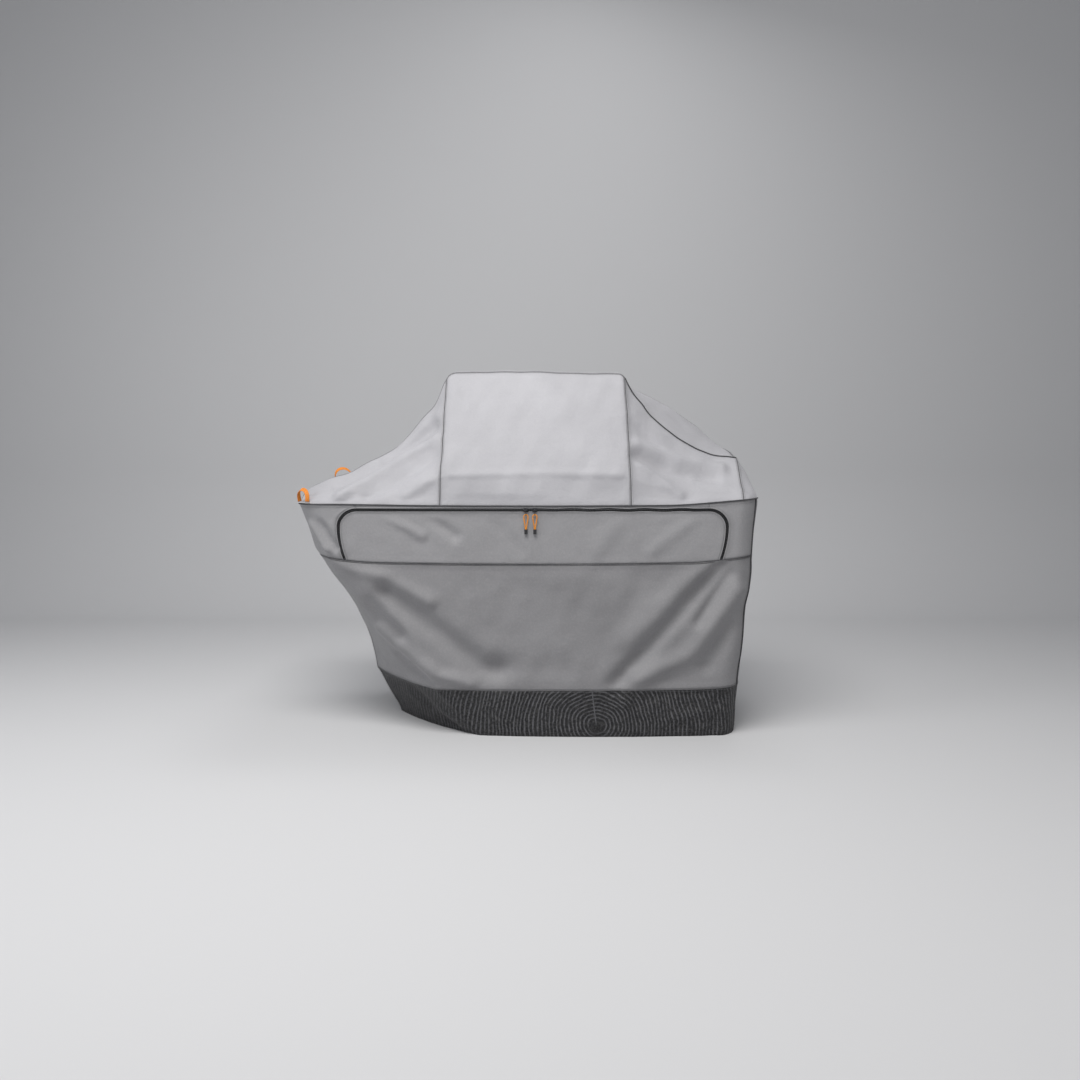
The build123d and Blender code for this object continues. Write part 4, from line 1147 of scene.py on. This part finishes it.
ORANGE = (0.92, 0.33, 0.020)
pull_finishes = {
    "slider": zip_metal,
    "pull_bail": moulded_finish("pull_wire", (0.10, 0.10, 0.105), 0.30, 0.95, 0.25),
    "pull_tip": moulded_finish("pull_tip", (0.020, 0.020, 0.022), 0.52, 0.0, 0.08),
}
for piece, finish in pull_finishes.items():
    for side in ("left", "right"):
        node = frame["nodes"][f"{piece}_{side}"]
        node.data.materials.clear()
        node.data.materials.append(finish)

braided_cord = cord_finish("pull_cord", ORANGE, 0.0016)
CORD_BELLY = 0.0066  # half the loop's width at its widest, from the cord's middle
CORD_FLAT = 1.35  # how much wider than thick the cord lies


def cord_path(place, foot, low, high):
    """Up one strand, round and down the other: x = foot + (belly - foot)(3 s^2 - 2 s^3), then a half circle."""
    climb = np.linspace(0, 1, 18)
    out = foot + (CORD_BELLY - foot) * climb**2 * (3 - 2 * climb)
    rise = low + (high - CORD_BELLY - low) * climb
    turn = np.linspace(0, pi, 22)[1:-1]
    x = np.concatenate((-out, -CORD_BELLY * np.cos(turn), out[::-1]))
    z = np.concatenate((rise, high - CORD_BELLY + CORD_BELLY * np.sin(turn), rise[::-1]))
    return np.stack((place[0] + x, np.full_like(x, place[1]), z), -1)


for side in ("left", "right"):
    lowest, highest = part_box(f"pull_cord_{side}")
    middle = ((lowest.x + highest.x) / 2, (lowest.y + highest.y) / 2)
    half_deep = (highest.y - lowest.y) / 2
    strand = ROUND * (half_deep * CORD_FLAT, half_deep)
    path = cord_path(middle, half_deep, lowest.z - half_deep, highest.z - half_deep)
    cord = sweep(f"pull_loop_{side}", path, np.broadcast_to(FORWARD, path.shape), strand, braided_cord)
    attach(cord, f"pull_{side}")
    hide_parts(f"pull_cord_{side}")

# ---- Grab loops ---------------------------------------------------------------------------------------
# Two loops of orange webbing, one on the left wing and one on the front left corner, to lift the cover off
# by. Each stands on a small pale tab that is sewn down over its feet.
webbing = zip_tape_finish("webbing", (0.90, 0.27, 0.03), 0.0022)
loop_patch = woven_finish("loop_patch", (0.50, 0.50, 0.50), 0.0016, 0.6, 0.1)
LOOP_HALF_SPAN, LOOP_RISE, LOOP_HALF_WIDE, LOOP_HALF_THICK = 0.030, 0.041, 0.0066, 0.0009
LOOP_TWIST = 0.85  # how far the webbing turns on its own length at the top of the loop
TAB_HALF_WIDE, TAB_HALF_THICK, TAB_HALF_LONG = 0.011, 0.0008, 0.040
joints = {joint["name"]: joint for joint in frame["joints"]}
for name in ("front", "rear"):
    joint = joints[f"loop_{name}_flop"]
    foot, along = np.array(joint["pos_m"], float), unit(np.array(joint["axis"], float))
    across = unit(np.cross(along, (0, 0, 1.0)))
    up = np.cross(across, along)
    turn = np.linspace(0.03, pi - 0.03, 49)[:, None]
    lean = 0.004 * np.sin(2 * turn) + 0.003 * np.sin(turn)
    arch = foot - along * LOOP_HALF_SPAN * np.cos(turn) + up * LOOP_RISE * np.sin(turn) ** 0.85 + across * lean
    flat_out = -along * np.cos(turn) * 1.3 + up * np.sin(turn)
    out = flat_out * np.cos(LOOP_TWIST * np.sin(turn)) + across * np.sin(LOOP_TWIST * np.sin(turn))
    ribbon = np.sign(ROUND) * np.abs(ROUND) ** 0.45 * (LOOP_HALF_WIDE, LOOP_HALF_THICK)
    loop = sweep(f"grab_loop_{name}_webbing", arch, out, ribbon, webbing)
    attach(loop, f"loop_{name}")
    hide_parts(f"grab_loop_{name}")
    way = np.linspace(-1, 1, 25)[:, None]
    strip = foot + along * TAB_HALF_LONG * way - up * (0.0012 + 0.0006 * way**2)
    flat_ring = np.sign(ROUND) * np.abs(ROUND) ** 0.4 * (TAB_HALF_WIDE, TAB_HALF_THICK)
    tab = sweep(f"loop_tab_{name}", strip, np.broadcast_to(up, strip.shape), flat_ring, loop_patch)
    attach(tab, "cover")
    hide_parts(f"loop_patch_{name}")
